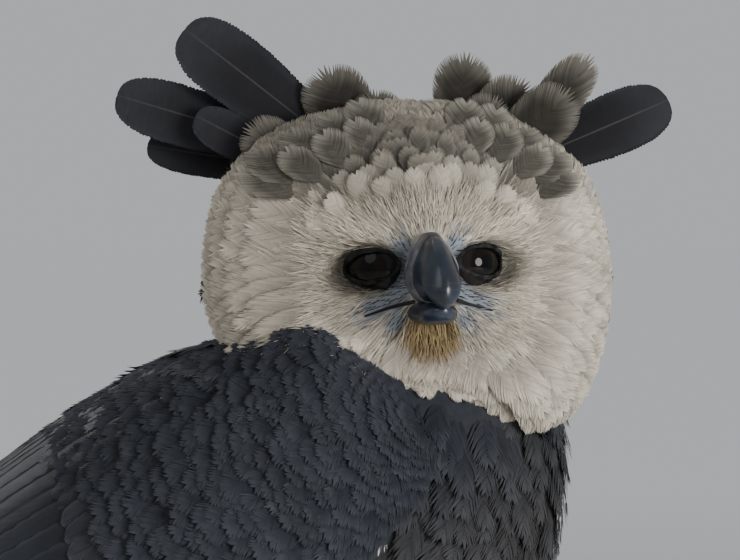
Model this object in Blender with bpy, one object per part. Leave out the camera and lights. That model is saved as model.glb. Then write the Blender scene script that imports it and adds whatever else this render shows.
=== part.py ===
"""Harpy eagle, life size, standing still and looking back over its right shoulder.

Metres, +Z up. The body faces +X, so its right side faces -Y. Every length below is the real bird's.
The forms are set out in a working frame, then moved so that the origin is under the middle of the box.
"""

import math
import random

import bmesh
import bpy
import numpy as np
from mathutils import Matrix, Vector

MM = 0.001
GAP = 0.3 * MM

# Body stations from tail root to the top of the neck:
# x, y, z of the centre, half width, depth above it, depth below it, slope of the body there in degrees.
BODY_STATIONS = (
    (-0.210, 0.000, 0.298, 0.022, 0.016, 0.018, 24.0),
    (-0.165, 0.000, 0.318, 0.046, 0.036, 0.040, 24.0),
    (-0.100, 0.000, 0.345, 0.074, 0.064, 0.074, 25.0),
    (-0.020, 0.000, 0.376, 0.096, 0.078, 0.096, 24.0),
    (0.055, 0.000, 0.408, 0.106, 0.092, 0.110, 27.0),
    (0.118, 0.000, 0.438, 0.103, 0.086, 0.114, 40.0),
    (0.150, -0.006, 0.480, 0.084, 0.070, 0.085, 60.0),
    (0.152, -0.022, 0.520, 0.064, 0.056, 0.066, 76.0),
    (0.150, -0.044, 0.556, 0.044, 0.044, 0.044, 86.0),
)
BODY_RINGS = 20
BODY_SIDES = 22
NECK_RING = 14

# Wing stations from wrist to wing tip, right wing:
# x, z of the centre, half width, depth above it, top edge and low edge in degrees from the back line.
WING_STATIONS = (
    (0.158, 0.458, 0.104, 0.070, 44.0, 84.0),
    (0.132, 0.446, 0.122, 0.102, 30.0, 96.0),
    (0.090, 0.424, 0.130, 0.110, 20.0, 104.0),
    (0.040, 0.402, 0.127, 0.100, 14.0, 107.0),
    (-0.020, 0.375, 0.115, 0.084, 10.0, 106.0),
    (-0.100, 0.343, 0.095, 0.071, 8.0, 103.0),
    (-0.180, 0.312, 0.076, 0.058, 8.0, 100.0),
    (-0.260, 0.279, 0.060, 0.045, 16.0, 95.0),
    (-0.335, 0.248, 0.048, 0.038, 40.0, 86.0),
)
WING_RINGS = 14
WING_SIDES = 8
WING_CORE_END = 0.88
LEFT_WING_DROP = 0.008

# The head faces the camera: turned right from the body's heading, level, its left eye a little higher.
HEAD_CENTRE = Vector((0.150, -0.060, 0.548))
HEAD_TURN = math.radians(-85.0)
HEAD_ROLL = math.radians(2.5)

# Head sections from nape to bill, in mm: forward, half width, height above, height below.
HEAD_STATIONS = (
    (-60.0, 14.0, 14.0, 10.0),
    (-50.0, 35.0, 37.0, 28.0),
    (-32.0, 52.0, 57.0, 42.0),
    (-10.0, 60.0, 68.0, 50.0),
    (8.0, 55.0, 63.0, 48.0),
    (18.0, 43.0, 53.0, 42.0),
    (26.0, 31.0, 43.0, 36.0),
    (33.0, 19.0, 31.0, 30.0),
    (38.0, 12.0, 21.0, 24.0),
)
HEAD_RINGS = 14
HEAD_SIDES = 22

EYE_RADIUS = 15.0
EYE_FRONT = (27.5, 32.0, 0.0)
EYE_OUTWARD = math.radians(35.0)
LID_RING = 11.8
LID_THICK = 2.3


def clear_scene():
    for old in list(bpy.data.objects):
        bpy.data.objects.remove(old, do_unlink=True)


def head_matrix():
    """Turns head sizes in mm (left, forward, up) into the working frame."""
    forward = Vector((math.cos(HEAD_TURN), math.sin(HEAD_TURN), 0.0))
    left = Vector((0.0, 0.0, 1.0)).cross(forward)
    up = Vector((0.0, 0.0, 1.0))
    frame = Matrix((left, forward, up)).transposed()
    roll = Matrix.Rotation(HEAD_ROLL, 3, forward)
    return Matrix.Translation(HEAD_CENTRE) @ (roll @ frame).to_4x4() @ Matrix.Scale(MM, 4)


HEAD = head_matrix()


def on_head(left, forward, up):
    return HEAD @ Vector((left, forward, up))


def unrolled(left, up):
    """Head sizes of a place that was measured across and up with the head's roll left in."""
    turned = Matrix.Rotation(-HEAD_ROLL, 2) @ Vector((left, up))
    return turned.x, turned.y


def smooth_rows(stations, count):
    """Reads count rows, evenly spaced, from a Catmull-Rom curve through the stations."""
    rows = np.array(stations, float)
    ends = np.vstack([2 * rows[0] - rows[1], rows, 2 * rows[-1] - rows[-2]])
    out = []
    for value in np.linspace(0, len(rows) - 1, count):
        i = min(int(value), len(rows) - 2)
        t = value - i
        a, b, c, d = ends[i : i + 4]
        out.append(
            b + 0.5 * t * (c - a + t * (2 * a - 5 * b + 4 * c - d + t * (3 * (b - c) + d - a)))
        )
    return np.array(out)


def mesh_object(name, points, faces):
    mesh = bpy.data.meshes.new(name)
    mesh.from_pydata([tuple(p) for p in points], [], faces)
    mesh.update()
    made = bpy.data.objects.new(name, mesh)
    bpy.context.scene.collection.objects.link(made)
    tidy = bmesh.new()
    tidy.from_mesh(mesh)
    bmesh.ops.triangulate(tidy, faces=tidy.faces)
    bmesh.ops.recalc_face_normals(tidy, faces=tidy.faces)
    if tidy.calc_volume(signed=True) < 0:
        bmesh.ops.reverse_faces(tidy, faces=tidy.faces)
    tidy.to_mesh(mesh)
    tidy.free()
    return made


def loft(name, rings):
    """A closed body through rings of equally many points, each end closed by a fan to its middle."""
    sides = len(rings[0])
    points = [Vector(p) for ring in rings for p in ring]
    faces = []
    for i in range(len(rings) - 1):
        for j in range(sides):
            k = (j + 1) % sides
            faces.append((i * sides + j, i * sides + k, (i + 1) * sides + k, (i + 1) * sides + j))
    for start in (0, (len(rings) - 1) * sides):
        middle = len(points)
        ring = points[start : start + sides]
        points.append(sum(ring, Vector()) / sides)
        faces += [(start + j, start + (j + 1) % sides, middle) for j in range(sides)]
    return mesh_object(name, points, faces)


def apply_modifiers(made):
    graph = bpy.context.evaluated_depsgraph_get()
    mesh = bpy.data.meshes.new_from_object(made.evaluated_get(graph))
    made.modifiers.clear()
    made.data = mesh


def keep_largest(made):
    """Drops every closed surface of a node but the largest one."""
    cage = bmesh.new()
    cage.from_mesh(made.data)
    bmesh.ops.remove_doubles(cage, verts=cage.verts, dist=1e-7)
    left = set(cage.faces)
    shells = []
    while left:
        queue = [left.pop()]
        shell = list(queue)
        while queue:
            face = queue.pop()
            for edge in face.edges:
                for other in edge.link_faces:
                    if other in left:
                        left.discard(other)
                        queue.append(other)
                        shell.append(other)
        shells.append(shell)
    shells.sort(key=lambda shell: sum(f.calc_area() for f in shell), reverse=True)
    spare = [f for shell in shells[1:] for f in shell]
    if spare:
        bmesh.ops.delete(cage, geom=spare, context="FACES")
        loose = [v for v in cage.verts if not v.link_faces]
        bmesh.ops.delete(cage, geom=loose, context="VERTS")
    cage.to_mesh(made.data)
    cage.free()


def closed_volume(made):
    """The body's volume, or -1 where some edge doesn't join exactly two faces."""
    cage = bmesh.new()
    cage.from_mesh(made.data)
    volume = cage.calc_volume(signed=True) if all(e.is_manifold for e in cage.edges) else -1.0
    cage.free()
    return volume


def boolean(made, others, operation, solvers=("EXACT", "MANIFOLD")):
    """Joins to, or cuts from, one object a list of closed meshes, which are used up.

    The next solver is tried where one leaves an open mesh or a volume that can't be right.
    """
    group = bpy.data.collections.new(made.name + "_pieces")
    for other in others:
        group.objects.link(other)
    before = closed_volume(made)
    most = sum(abs(closed_volume(other)) for other in others)
    whole = made.data
    for solver in solvers:
        step = made.modifiers.new("boolean", "BOOLEAN")
        step.operation = operation
        step.operand_type = "COLLECTION"
        step.collection = group
        step.solver = solver
        bpy.context.view_layer.update()
        apply_modifiers(made)
        keep_largest(made)
        after = closed_volume(made)
        low = before - most if operation == "DIFFERENCE" else before
        high = before if operation == "DIFFERENCE" else before + most
        if max(low, 0.2 * before) * 0.999 <= after <= high * 1.001:
            break
        if solver != solvers[-1]:
            made.data = whole
    for other in others:
        bpy.data.objects.remove(other, do_unlink=True)
    bpy.data.collections.remove(group)


def grown(made, by=GAP):
    """A copy of a body with its surface moved out, used to cut a neighbour clear of it."""
    copy = made.copy()
    copy.data = made.data.copy()
    copy.name = made.name + "_grown"
    bpy.context.scene.collection.objects.link(copy)
    cage = bmesh.new()
    cage.from_mesh(copy.data)
    bmesh.ops.recalc_face_normals(cage, faces=cage.faces)
    cage.normal_update()
    for vert in cage.verts:
        vert.co += vert.normal * by * vert.calc_shell_factor()
    cage.to_mesh(copy.data)
    cage.free()
    return copy


ENVELOPES = {}


def keep_envelope(made, by=GAP):
    """Remembers a body's whole form, moved out by the gap, before anything is cut from it."""
    copy = grown(made, by)
    ENVELOPES[made.name] = copy.data
    bpy.data.objects.remove(copy, do_unlink=True)


def cut(made, *names):
    """Cuts a body clear of the whole forms of its neighbours."""
    for name in names:
        other = bpy.data.objects.new(name + "_envelope", ENVELOPES[name].copy())
        boolean(made, [other], "DIFFERENCE")


def body_ring(row, shift=0.0):
    """One section of the body, from the middle of the back round by the bird's right side."""
    x, y, z, half_width, above, below, slope = row
    slope = math.radians(slope)
    along = Vector((math.cos(slope), 0.0, math.sin(slope)))
    back = Vector((-along.z, 0.0, along.x))
    side = Vector((0.0, -1.0, 0.0))
    ring = []
    for j in range(BODY_SIDES):
        turn = 2 * math.pi * j / BODY_SIDES
        depth = above if math.cos(turn) > 0 else below
        ring.append(
            Vector((x, y, z))
            + along * shift
            + side * half_width * math.sin(turn)
            + back * depth * math.cos(turn)
        )
    return ring


def torso_and_neck():
    rows = smooth_rows(BODY_STATIONS, BODY_RINGS)
    torso = loft("torso", [body_ring(row) for row in rows[: NECK_RING + 1]])
    neck = loft("neck", [body_ring(rows[NECK_RING], GAP)] + [body_ring(row) for row in rows[NECK_RING + 1 :]])
    return torso, neck


def wing_row(share):
    """The wing's section at a share of its length, from the wrist (0) to the tip (1)."""
    rows = smooth_rows(WING_STATIONS, 65)
    value = min(max(share, 0.0), 1.0) * 64
    i = min(int(value), 63)
    row = rows[i] + (rows[i + 1] - rows[i]) * (value - i)
    along = rows[min(i + 2, 64)] - rows[max(i - 2, 0)]
    slope = Vector((along[0], 0.0, along[1])).normalized()
    return row, Vector((slope.z, 0.0, -slope.x)), slope


def wing_point(side_sign, share, across, reach):
    """A point over the wing: across runs from its top edge (0) to its low edge (1), reach is outward."""
    row, back, slope = wing_row(share)
    x, z, half_width, above, top, low = row
    turn = math.radians(top + (low - top) * across)
    past = max(share - 1.0, 0.0) * 0.56
    if side_sign < 0:
        z -= LEFT_WING_DROP * min(1.0, 4.0 * share)
    return (
        Vector((x, 0.0, z))
        + slope * past
        + Vector((0.0, -side_sign, 0.0)) * (half_width + reach) * math.sin(turn)
        + back * (above + reach) * math.cos(turn)
    )


def wing_body(side_sign):
    """The folded wing's core: one curved slab from wrist to tip, thickest at the shoulder."""
    rings = []
    for i in range(WING_RINGS):
        share = WING_CORE_END * i / (WING_RINGS - 1)
        thick = 0.030 * (1 - share) ** 2 + 0.006 * (1 - share) + 0.0015
        outer = []
        inner = []
        for j in range(WING_SIDES):
            across = j / (WING_SIDES - 1)
            round_off = 0.35 * thick * (1 - math.sin(math.pi * across) ** 0.5)
            outer.append(wing_point(side_sign, share, across, -round_off))
            inner.append(wing_point(side_sign, share, across, -thick))
        rings.append(outer + inner[::-1])
    return loft("wing_right" if side_sign > 0 else "wing_left", rings)


# Tiers of a wing, from the lowest layer up: how many feathers, share of the wing's length at the roots and tips
# of the first and last feather, their places across the wing (0 is the top edge), half width in mm.
WING_TIERS = (
    ("primary", 5, 0.60, 0.62, 1.02, 0.86, 0.93, 0.55, 12.0),
    ("secondary", 7, 0.42, 0.40, 0.84, 0.70, 0.95, 0.17, 15.0),
    ("greater", 7, 0.25, 0.24, 0.50, 0.46, 0.96, 0.16, 15.0),
    ("median", 7, 0.14, 0.13, 0.325, 0.31, 0.95, 0.20, 14.0),
    ("lesser", 5, 0.05, 0.05, 0.20, 0.20, 0.88, 0.28, 14.0),
)
VANE_THICK = 0.8 * MM
VANE_WIDTHS = {4: (0.6, 1.0, 0.95, 0.4), 5: (0.55, 0.95, 1.0, 0.85, 0.38)}


def wing_feathers(side_sign, seed):
    """The overlapping vanes of a folded wing. Each is rooted in the core and lies over the one below it."""
    chance = random.Random(seed)
    made = []
    for name, count, root_a, root_b, tip_a, tip_b, place_a, place_b, half in WING_TIERS:
        for k in range(count):
            t = k / (count - 1)
            root = root_a + (root_b - root_a) * t + chance.uniform(-0.006, 0.006)
            tip = tip_a + (tip_b - tip_a) * t + chance.uniform(-0.012, 0.012)
            place = place_a + (place_b - place_a) * t
            steps = 5 if name in ("primary", "secondary") else 4
            low, high = (0.4, 1.2) if name == "primary" else (1.0, 2.8)
            line = []
            normals = []
            widths = []
            rolls = []
            for i in range(steps):
                s = (0.0, 0.28, 0.55, 0.82, 1.0)[i] if steps == 5 else (0.0, 0.35, 0.75, 1.0)[i]
                share = root + (tip - root) * s
                reach = float(np.interp(s, (0.0, 0.3, 1.0), (-4.0, low, high))) * MM
                here = wing_point(side_sign, share, place, reach)
                ahead = wing_point(side_sign, share, min(place + 0.04, 1.02), reach)
                behind = wing_point(side_sign, share, max(place - 0.04, -0.02), reach)
                onward = wing_point(side_sign, share + 0.02, place, reach)
                normal = (ahead - behind).cross(onward - here).normalized()
                row = wing_row(share)[0]
                outward = here - Vector((row[0], 0.0, row[1]))
                if normal.dot(outward) < 0:
                    normal = -normal
                line.append(here)
                normals.append(normal)
                beside = abs(place_a - place_b) / (count - 1)
                spacing = (wing_point(side_sign, share, place - beside / 2, reach) - here).length * 2
                wide = min(half * VANE_WIDTHS[steps][i] * MM, 0.72 * spacing)
                widths.append(wide)
                rolls.append(side_sign * ((VANE_THICK + 1.6 * GAP) / spacing + max(0.0, 2 * wide - spacing) / 0.17))
            made.append(vane(name + str(k), line, normals, widths, VANE_THICK, 0.0, rolls))
    return made


def head_core():
    rows = smooth_rows(HEAD_STATIONS, HEAD_RINGS)
    rings = []
    for forward, half_width, above, below in rows:
        ring = []
        for j in range(HEAD_SIDES):
            turn = 2 * math.pi * j / HEAD_SIDES
            height = above if math.cos(turn) > 0 else below
            ring.append(on_head(half_width * math.sin(turn), forward, height * math.cos(turn)))
        rings.append(ring)
    return loft("head", rings)


# Tips of the ruff seen from straight ahead, in mm: left, up. It runs round from the crown by the bird's left.
RUFF_OUTLINE = (
    (2.0, 74.0),
    (34.0, 70.0),
    (64.0, 58.0),
    (83.0, 40.0),
    (91.0, 16.0),
    (92.0, -12.0),
    (86.0, -40.0),
    (73.0, -66.0),
    (58.0, -74.0),
    (36.0, -66.0),
    (14.0, -60.0),
    (-12.0, -58.0),
    (-38.0, -62.0),
    (-62.0, -62.0),
    (-82.0, -46.0),
    (-93.0, -22.0),
    (-94.0, 2.0),
    (-89.0, 30.0),
    (-76.0, 50.0),
    (-38.0, 68.0),
)


def ruff_reach(turn):
    """How far the ruff's tips stand from the head's middle line, turn being measured from the crown."""
    turns = [math.atan2(left, up) % (2 * math.pi) for left, up in RUFF_OUTLINE]
    reach = [math.hypot(left, up) for left, up in RUFF_OUTLINE]
    order = np.argsort(turns)
    return float(
        np.interp(
            turn % (2 * math.pi),
            np.array(turns)[order],
            np.array(reach)[order],
            period=2 * math.pi,
        )
    )


def core_reach(turn, forward):
    """How far the head's core stands from its middle line at a place along it."""
    rows = np.array(HEAD_STATIONS)
    half_width, above, below = (float(np.interp(forward, rows[:, 0], rows[:, c])) for c in (1, 2, 3))
    high = above if math.cos(turn) > 0 else below
    return 1 / math.hypot(math.sin(turn) / half_width, math.cos(turn) / high)


# Rows of the ruff from the back of the head forward: count, the widest angle from the crown in degrees,
# forward of the roots and of the tips in mm, share of the outline that the tips reach, half width in mm.
RUFF_ROWS = (
    (8, 118.0, -40.0, -60.0, 0.66, 14.0),
    (12, 135.0, -24.0, -40.0, 0.86, 15.0),
    (20, 180.0, -4.0, -8.0, 1.0, 15.0),
    (18, 180.0, 8.0, 4.0, 0.85, 13.5),
)
# How far forward the tips under the face lean, out over the breast.
BEARD_LEAN = 30.0


def ruff_feathers(seed):
    """Rings of overlapping vanes round the face, each rooted in the head's core."""
    chance = random.Random(seed)
    made = []
    for row, (count, widest, root_forward, tip_forward, share, half) in enumerate(RUFF_ROWS):
        for k in range(count):
            if widest < 180:
                turn = math.radians(-widest + 2 * widest * k / (count - 1))
            else:
                turn = 2 * math.pi * (k + 0.5 * (row % 2)) / count
            reach = share * ruff_reach(turn - HEAD_ROLL) * (1 + chance.uniform(-0.015, 0.012))
            lean = BEARD_LEAN * max(0.0, -math.cos(turn)) if row > 1 else 0.0
            start = min(core_reach(turn, root_forward) - 5.0, reach - 18.0)
            line = []
            normals = []
            widths = []
            rolls = []
            step = math.radians(2 * widest / (count - 1 if widest < 180 else count))
            narrow = min(1.0, (reach - start) / 26.0 + 0.25)
            for t, wide in ((0.0, 0.6), (0.4, 0.95), (0.75, 1.0), (1.0, 0.42)):
                far = start + (reach - start) * t
                widths.append(min(half * narrow * wide, 0.72 * step * far) * MM)
                rolls.append((VANE_THICK + 1.5 * GAP) / (step * far * MM))
                forward = root_forward + (tip_forward + lean - root_forward) * t + 2.5 * math.sin(math.pi * t)
                line.append(on_head(far * math.sin(turn), forward, far * math.cos(turn)))
                tilt = math.atan2(root_forward - tip_forward - lean, reach - start)
                out = Vector((math.sin(turn) * math.sin(tilt), math.cos(tilt), math.cos(turn) * math.sin(tilt)))
                normals.append((HEAD.to_3x3() @ out).normalized())
            made.append(vane("ruff" + str(row) + "_" + str(k), line, normals, widths, VANE_THICK, 0.0, rolls))
    return made


def vane(name, line, normals, half_widths, thick, crown=0.0, roll=0.0):
    """A feather's vane: a thin plate along a line, raised along its shaft by crown and rolled to overlap its like."""
    points = []
    for i, place in enumerate(line):
        along = (line[min(i + 1, len(line) - 1)] - line[max(i - 1, 0)]).normalized()
        side = along.cross(normals[i]).normalized()
        over = side.cross(along).normalized()
        left, right = half_widths[i] if isinstance(half_widths[i], tuple) else (half_widths[i],) * 2
        lean = roll[i] if isinstance(roll, list) else roll
        top = [place - side * left - over * lean * left, place + side * right + over * lean * right]
        if crown:
            top.insert(1, place + over * crown * (left + right) / 2)
        points += top + [p - over * thick for p in top]
    wide = len(points) // len(line) // 2
    faces = []
    for i in range(len(line) - 1):
        a = 2 * wide * i
        b = a + 2 * wide
        for c in range(wide - 1):
            d = c + 1
            faces += [(a + c, a + d, b + d), (a + c, b + d, b + c)]
            c += wide
            d += wide
            faces += [(a + c, b + d, a + d), (a + c, b + c, b + d)]
        for c, turned in ((0, False), (wide - 1, True)):
            rim = [(a + c, b + c, b + c + wide), (a + c, b + c + wide, a + c + wide)]
            faces += [face[::-1] if turned else face for face in rim]
    for a in (0, 2 * wide * (len(line) - 1)):
        for c in range(a, a + wide - 1):
            faces += [(c, c + wide, c + wide + 1), (c, c + wide + 1, c + 1)]
    return mesh_object(name, points, faces)


# Each crest feather: root and tip seen from straight ahead (left, up) with forward last, and half width, in mm.
CREST = (
    ((-18.3, 42.7, -26.0), (-98.6, 106.7, -40.0), 17.5),
    ((-26.8, 45.5, -30.0), (-128.8, 76.8, -46.0), 14.5),
    ((-25.9, 39.6, -35.0), (-114.0, 54.1, -52.0), 10.5),
    ((-33.3, 34.0, -19.0), (-95.1, 67.3, -30.0), 10.5),
    ((-33.0, 33.9, -13.0), (-74.4, 62.5, -18.0), 13.0),
    ((-15.9, 45.3, -21.0), (-37.6, 89.0, -29.0), 16.0),
    ((-8.0, 45.2, -14.0), (-16.6, 78.8, -20.0), 12.5),
    ((22.2, 45.4, -28.0), (31.0, 96.1, -38.0), 14.0),
    ((22.2, 45.3, -21.0), (56.9, 83.6, -29.0), 13.5),
    ((19.5, 45.2, -14.0), (42.5, 75.6, -19.0), 12.0),
    ((32.2, 40.7, -13.0), (75.4, 78.8, -18.0), 14.0),
    ((40.0, 40.0, -24.0), (87.9, 94.7, -34.0), 11.0),
    ((34.0, 38.0, -30.0), (127.0, 75.4, -48.0), 15.0),
)


def crest_feathers():
    made = []
    for number, (root, tip, half) in enumerate(CREST):
        line = []
        for t in (0.0, 0.3, 0.6, 0.85, 1.0):
            left, up, forward = Vector(root).lerp(Vector(tip), t)
            left, up = unrolled(left, up)
            line.append(on_head(left, forward + 4.0 * math.sin(math.pi * t), up))
        over = (HEAD.to_3x3() @ Vector((0.0, 1.0, 0.2))).normalized()
        widths = [half * share * MM for share in (0.45, 0.85, 1.0, 0.85, 0.42)]
        made.append(vane("crest" + str(number), line, [over] * 5, widths, 1.1 * MM, 0.1))
    return made


def eye_axis(side):
    """The way an eye looks, in head sizes: side is 1 for the bird's left eye and -1 for its right."""
    return Vector((side * math.sin(EYE_OUTWARD), math.cos(EYE_OUTWARD), 0.0))


def eye_centre(side):
    left, forward, up = EYE_FRONT
    return Vector((side * left, forward, up)) - EYE_RADIUS * eye_axis(side)


def ball(name, centre, radius, segments=13, rings=8):
    """A sphere whose pole looks the eye's way, in head sizes."""
    bpy.ops.mesh.primitive_uv_sphere_add(segments=segments, ring_count=rings, radius=radius * MM)
    made = bpy.context.object
    made.name = name
    made.location = HEAD @ centre
    return made


def turned_to(made, centre, axis):
    """Places an upright primitive so that its Z runs along an axis given in head sizes."""
    way = (HEAD.to_3x3() @ axis).normalized()
    made.matrix_world = Matrix.Translation(HEAD @ centre) @ way.to_track_quat("Z", "Y").to_matrix().to_4x4()
    bpy.context.view_layer.update()
    made.data.transform(made.matrix_world)
    made.matrix_world = Matrix.Identity(4)
    return made


def eye(side):
    made = ball("eye_left" if side > 0 else "eye_right", Vector(), EYE_RADIUS)
    made.location = Vector()
    return turned_to(made, eye_centre(side), eye_axis(side))


def open_eyes(head):
    """Cuts each eye's opening through the face, adds the ring of the lids, and seats the eyeball."""
    for side in (1, -1):
        axis = eye_axis(side)
        bpy.ops.mesh.primitive_cone_add(vertices=16, radius1=7.5 * MM, radius2=13.5 * MM, depth=26.0 * MM)
        opening = turned_to(bpy.context.object, eye_centre(side) + 16.0 * axis, axis)
        boolean(head, [opening], "DIFFERENCE")
        bpy.ops.mesh.primitive_torus_add(
            major_segments=16,
            minor_segments=5,
            major_radius=LID_RING * MM,
            minor_radius=LID_THICK * MM,
        )
        lids = turned_to(bpy.context.object, eye_centre(side) + 10.6 * axis, axis)
        boolean(head, [lids], "UNION")
    balls = [grown(eye(side), 1.3 * GAP) for side in (1, -1)]
    for name in ("eye_left", "eye_right"):
        bpy.data.objects.remove(bpy.data.objects[name], do_unlink=True)
    boolean(head, balls, "DIFFERENCE")


# The gape, from the bill back under the eye: forward in mm, angle from the crown in degrees.
GAPE_LINE = ((36.0, 145.0), (32.5, 140.0), (28.0, 133.0), (23.5, 128.0))


def gape_points(side, out):
    line = []
    for forward, turn in GAPE_LINE:
        angle = math.radians(turn)
        reach = core_reach(angle, forward) + out
        line.append(on_head(side * reach * math.sin(angle), forward, reach * math.cos(angle)))
    return line


def open_mouth(head):
    """A fleshy lip on each side of the face, parted by the line of the mouth."""
    for side in (1, -1):
        line = gape_points(side, 0.4)
        rings = []
        for i, place in enumerate(line):
            along = (line[min(i + 1, 3)] - line[max(i - 1, 0)]).normalized()
            over = along.orthogonal().normalized()
            across = along.cross(over)
            radius = (2.2 - 0.35 * i) * MM
            rings.append(
                [
                    place + radius * (over * math.sin(math.pi * j / 3) + across * math.cos(math.pi * j / 3))
                    for j in range(6)
                ]
            )
        boolean(head, [loft("lip", rings)], "UNION")
        parting = gape_points(side, 2.0)
        flat = (HEAD.to_3x3() @ Vector((0.25 * side, 0.0, 1.0))).normalized()
        boolean(head, [vane("parting", parting, [flat] * 4, [3.2 * MM] * 4, 1.0 * MM)], "DIFFERENCE")


def open_nostrils(cere):
    """A slanting slit in each side of the cere."""
    for side in (1, -1):
        bpy.ops.mesh.primitive_uv_sphere_add(segments=8, ring_count=6, radius=MM)
        slit = bpy.context.object
        slit.data.transform(Matrix.Diagonal((1.9, 1.7, 3.6, 1.0)))
        turned_to(slit, Vector((side * 12.2, 40.5, 3.5)), Vector((0.0, 0.45, 1.0)))
        boolean(cere, [slit], "DIFFERENCE")


# Upper bill, in mm: forward and up of the middle line, half width, half depth, tilt of the section in degrees.
CERE_STATIONS = (
    (30.0, -2.0, 11.5, 15.5, 0.0),
    (37.0, -1.5, 12.3, 16.2, 2.0),
    (43.0, -1.0, 12.2, 16.0, 5.0),
    (46.5, -1.2, 11.8, 15.4, 7.0),
)
BILL_STATIONS = (
    (46.9, -1.2, 11.4, 15.0, 7.0),
    (53.0, -2.4, 10.8, 13.8, 16.0),
    (60.0, -5.6, 9.2, 11.6, 32.0),
    (65.5, -11.0, 7.0, 8.6, 52.0),
    (68.3, -17.0, 4.6, 5.4, 72.0),
    (69.0, -22.5, 2.4, 2.8, 86.0),
    (68.6, -26.5, 0.8, 0.8, 92.0),
)
LOWER_BILL_STATIONS = (
    (30.0, -20.5, 11.5, 5.0, 0.0),
    (40.0, -21.0, 11.2, 5.2, 0.0),
    (50.0, -21.5, 9.8, 4.8, 0.0),
    (57.0, -21.2, 7.6, 3.9, 2.0),
    (61.5, -20.6, 4.6, 2.6, 4.0),
    (63.2, -20.2, 2.0, 1.4, 6.0),
)
BILL_SIDES = 12


def bill_loft(name, stations, count, ridge, keel=0.0):
    """A horn form: each section is an egg, narrow along the culmen by ridge and along its foot by keel."""
    rings = []
    for forward, up, half_width, half_depth, tilt in smooth_rows(stations, count):
        slope = math.radians(tilt)
        ring = []
        for j in range(BILL_SIDES):
            turn = 2 * math.pi * j / BILL_SIDES
            rise = math.cos(turn)
            narrow = 1 - (ridge if rise > 0 else keel) * abs(rise) ** 1.5
            across = half_width * math.sin(turn) * narrow
            ring.append(
                on_head(across, forward + half_depth * rise * math.sin(slope), up + half_depth * rise * math.cos(slope))
            )
        rings.append(ring)
    return loft(name, rings)


def bill():
    cere = bill_loft("cere", CERE_STATIONS, 5, 0.42, 0.15)
    upper = bill_loft("upper_bill", BILL_STATIONS, 11, 0.42, 0.12)
    lower = bill_loft("lower_bill", LOWER_BILL_STATIONS, 8, 0.0, 0.3)
    return cere, upper, lower


# Tail, in the body's side view.
TAIL_ROOT = Vector((-0.196, 0.0, 0.300))
TAIL_DROP = math.radians(27.0)
TAIL_LENGTH = 0.375
TAIL_HALF_WIDTH = 0.062


TAIL_STEP = 1.3 * MM


def tail_point(along, across, over):
    """A point of the tail: along from its root, across to the bird's left, over its top side."""
    way = Vector((-math.cos(TAIL_DROP), 0.0, -math.sin(TAIL_DROP)))
    rise = Vector((-math.sin(TAIL_DROP), 0.0, math.cos(TAIL_DROP)))
    return TAIL_ROOT + way * along + Vector((0.0, across, 0.0)) + rise * over


def tail_form(name, length, reach, thin, thick, count):
    """A closed form round the tail's middle line, flat and as wide as the fan is there."""
    rings = []
    for i in range(count):
        t = i / (count - 1)
        along = length * t
        half_width = 0.026 + reach * (along / TAIL_LENGTH) ** 0.7
        half_thick = thick * (1 - t) + thin
        ring = []
        for j in range(16):
            turn = 2 * math.pi * j / 16
            ring.append(tail_point(along, half_width * math.sin(turn), half_thick * math.cos(turn) - 0.003 * t))
        rings.append(ring)
    return loft(name, rings)


def tail_feathers():
    """Twelve rectrices: the middle pair on top, each next one out a step lower."""
    made = []
    for side in (1, -1):
        for k in range(6):
            fan = math.radians(1.0 + 1.55 * k) * side
            start = 0.004 + 0.003 * k
            length = TAIL_LENGTH * (1.0 - 0.012 * k * k / 4)
            level = 4.0 * MM - TAIL_STEP * (k + 1 if k else (0 if side > 0 else 1))
            line = []
            widths = []
            for t, share in ((0.05, 0.55), (0.35, 0.85), (0.7, 1.0), (0.92, 0.85), (1.0, 0.4)):
                along = length * t
                across = side * start + math.tan(fan) * along
                line.append(tail_point(along, across, level - 0.0015 * math.sin(math.pi * t) * (1 - t)))
                outer = 25.0 * MM * share
                inner = min(outer, abs(across) - 0.5 * MM) if k else outer
                inner = max(inner, 2.5 * MM)
                widths.append((outer, inner) if side < 0 else (inner, outer))
            rise = tail_point(0.0, 0.0, 1.0) - tail_point(0.0, 0.0, 0.0)
            made.append(vane("rectrix" + str(k), line, [rise] * 5, widths, VANE_THICK))
    return made


# Feathered thigh: x, y, z of the centre, half width across, reach forward, reach backward.
THIGH_STATIONS = (
    (0.036, 0.052, 0.390, 0.036, 0.050, 0.050),
    (0.034, 0.060, 0.335, 0.045, 0.060, 0.058),
    (0.026, 0.064, 0.280, 0.044, 0.053, 0.052),
    (0.008, 0.065, 0.232, 0.038, 0.043, 0.045),
    (-0.012, 0.065, 0.188, 0.031, 0.033, 0.037),
    (-0.026, 0.064, 0.152, 0.024, 0.024, 0.030),
    (-0.033, 0.063, 0.128, 0.017, 0.017, 0.024),
)
# Bare shank: x, y, z, half width, reach forward, reach backward.
SHANK_STATIONS = (
    (-0.0355, 0.063, 0.150, 0.0125, 0.0125, 0.0135),
    (-0.0340, 0.063, 0.126, 0.0135, 0.0140, 0.0150),
    (-0.0225, 0.062, 0.090, 0.0120, 0.0130, 0.0125),
    (-0.0085, 0.061, 0.055, 0.0125, 0.0135, 0.0125),
    (0.0005, 0.060, 0.030, 0.0160, 0.0175, 0.0160),
    (0.0020, 0.060, 0.014, 0.0170, 0.0200, 0.0170),
)
LEG_SIDES = 12


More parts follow.
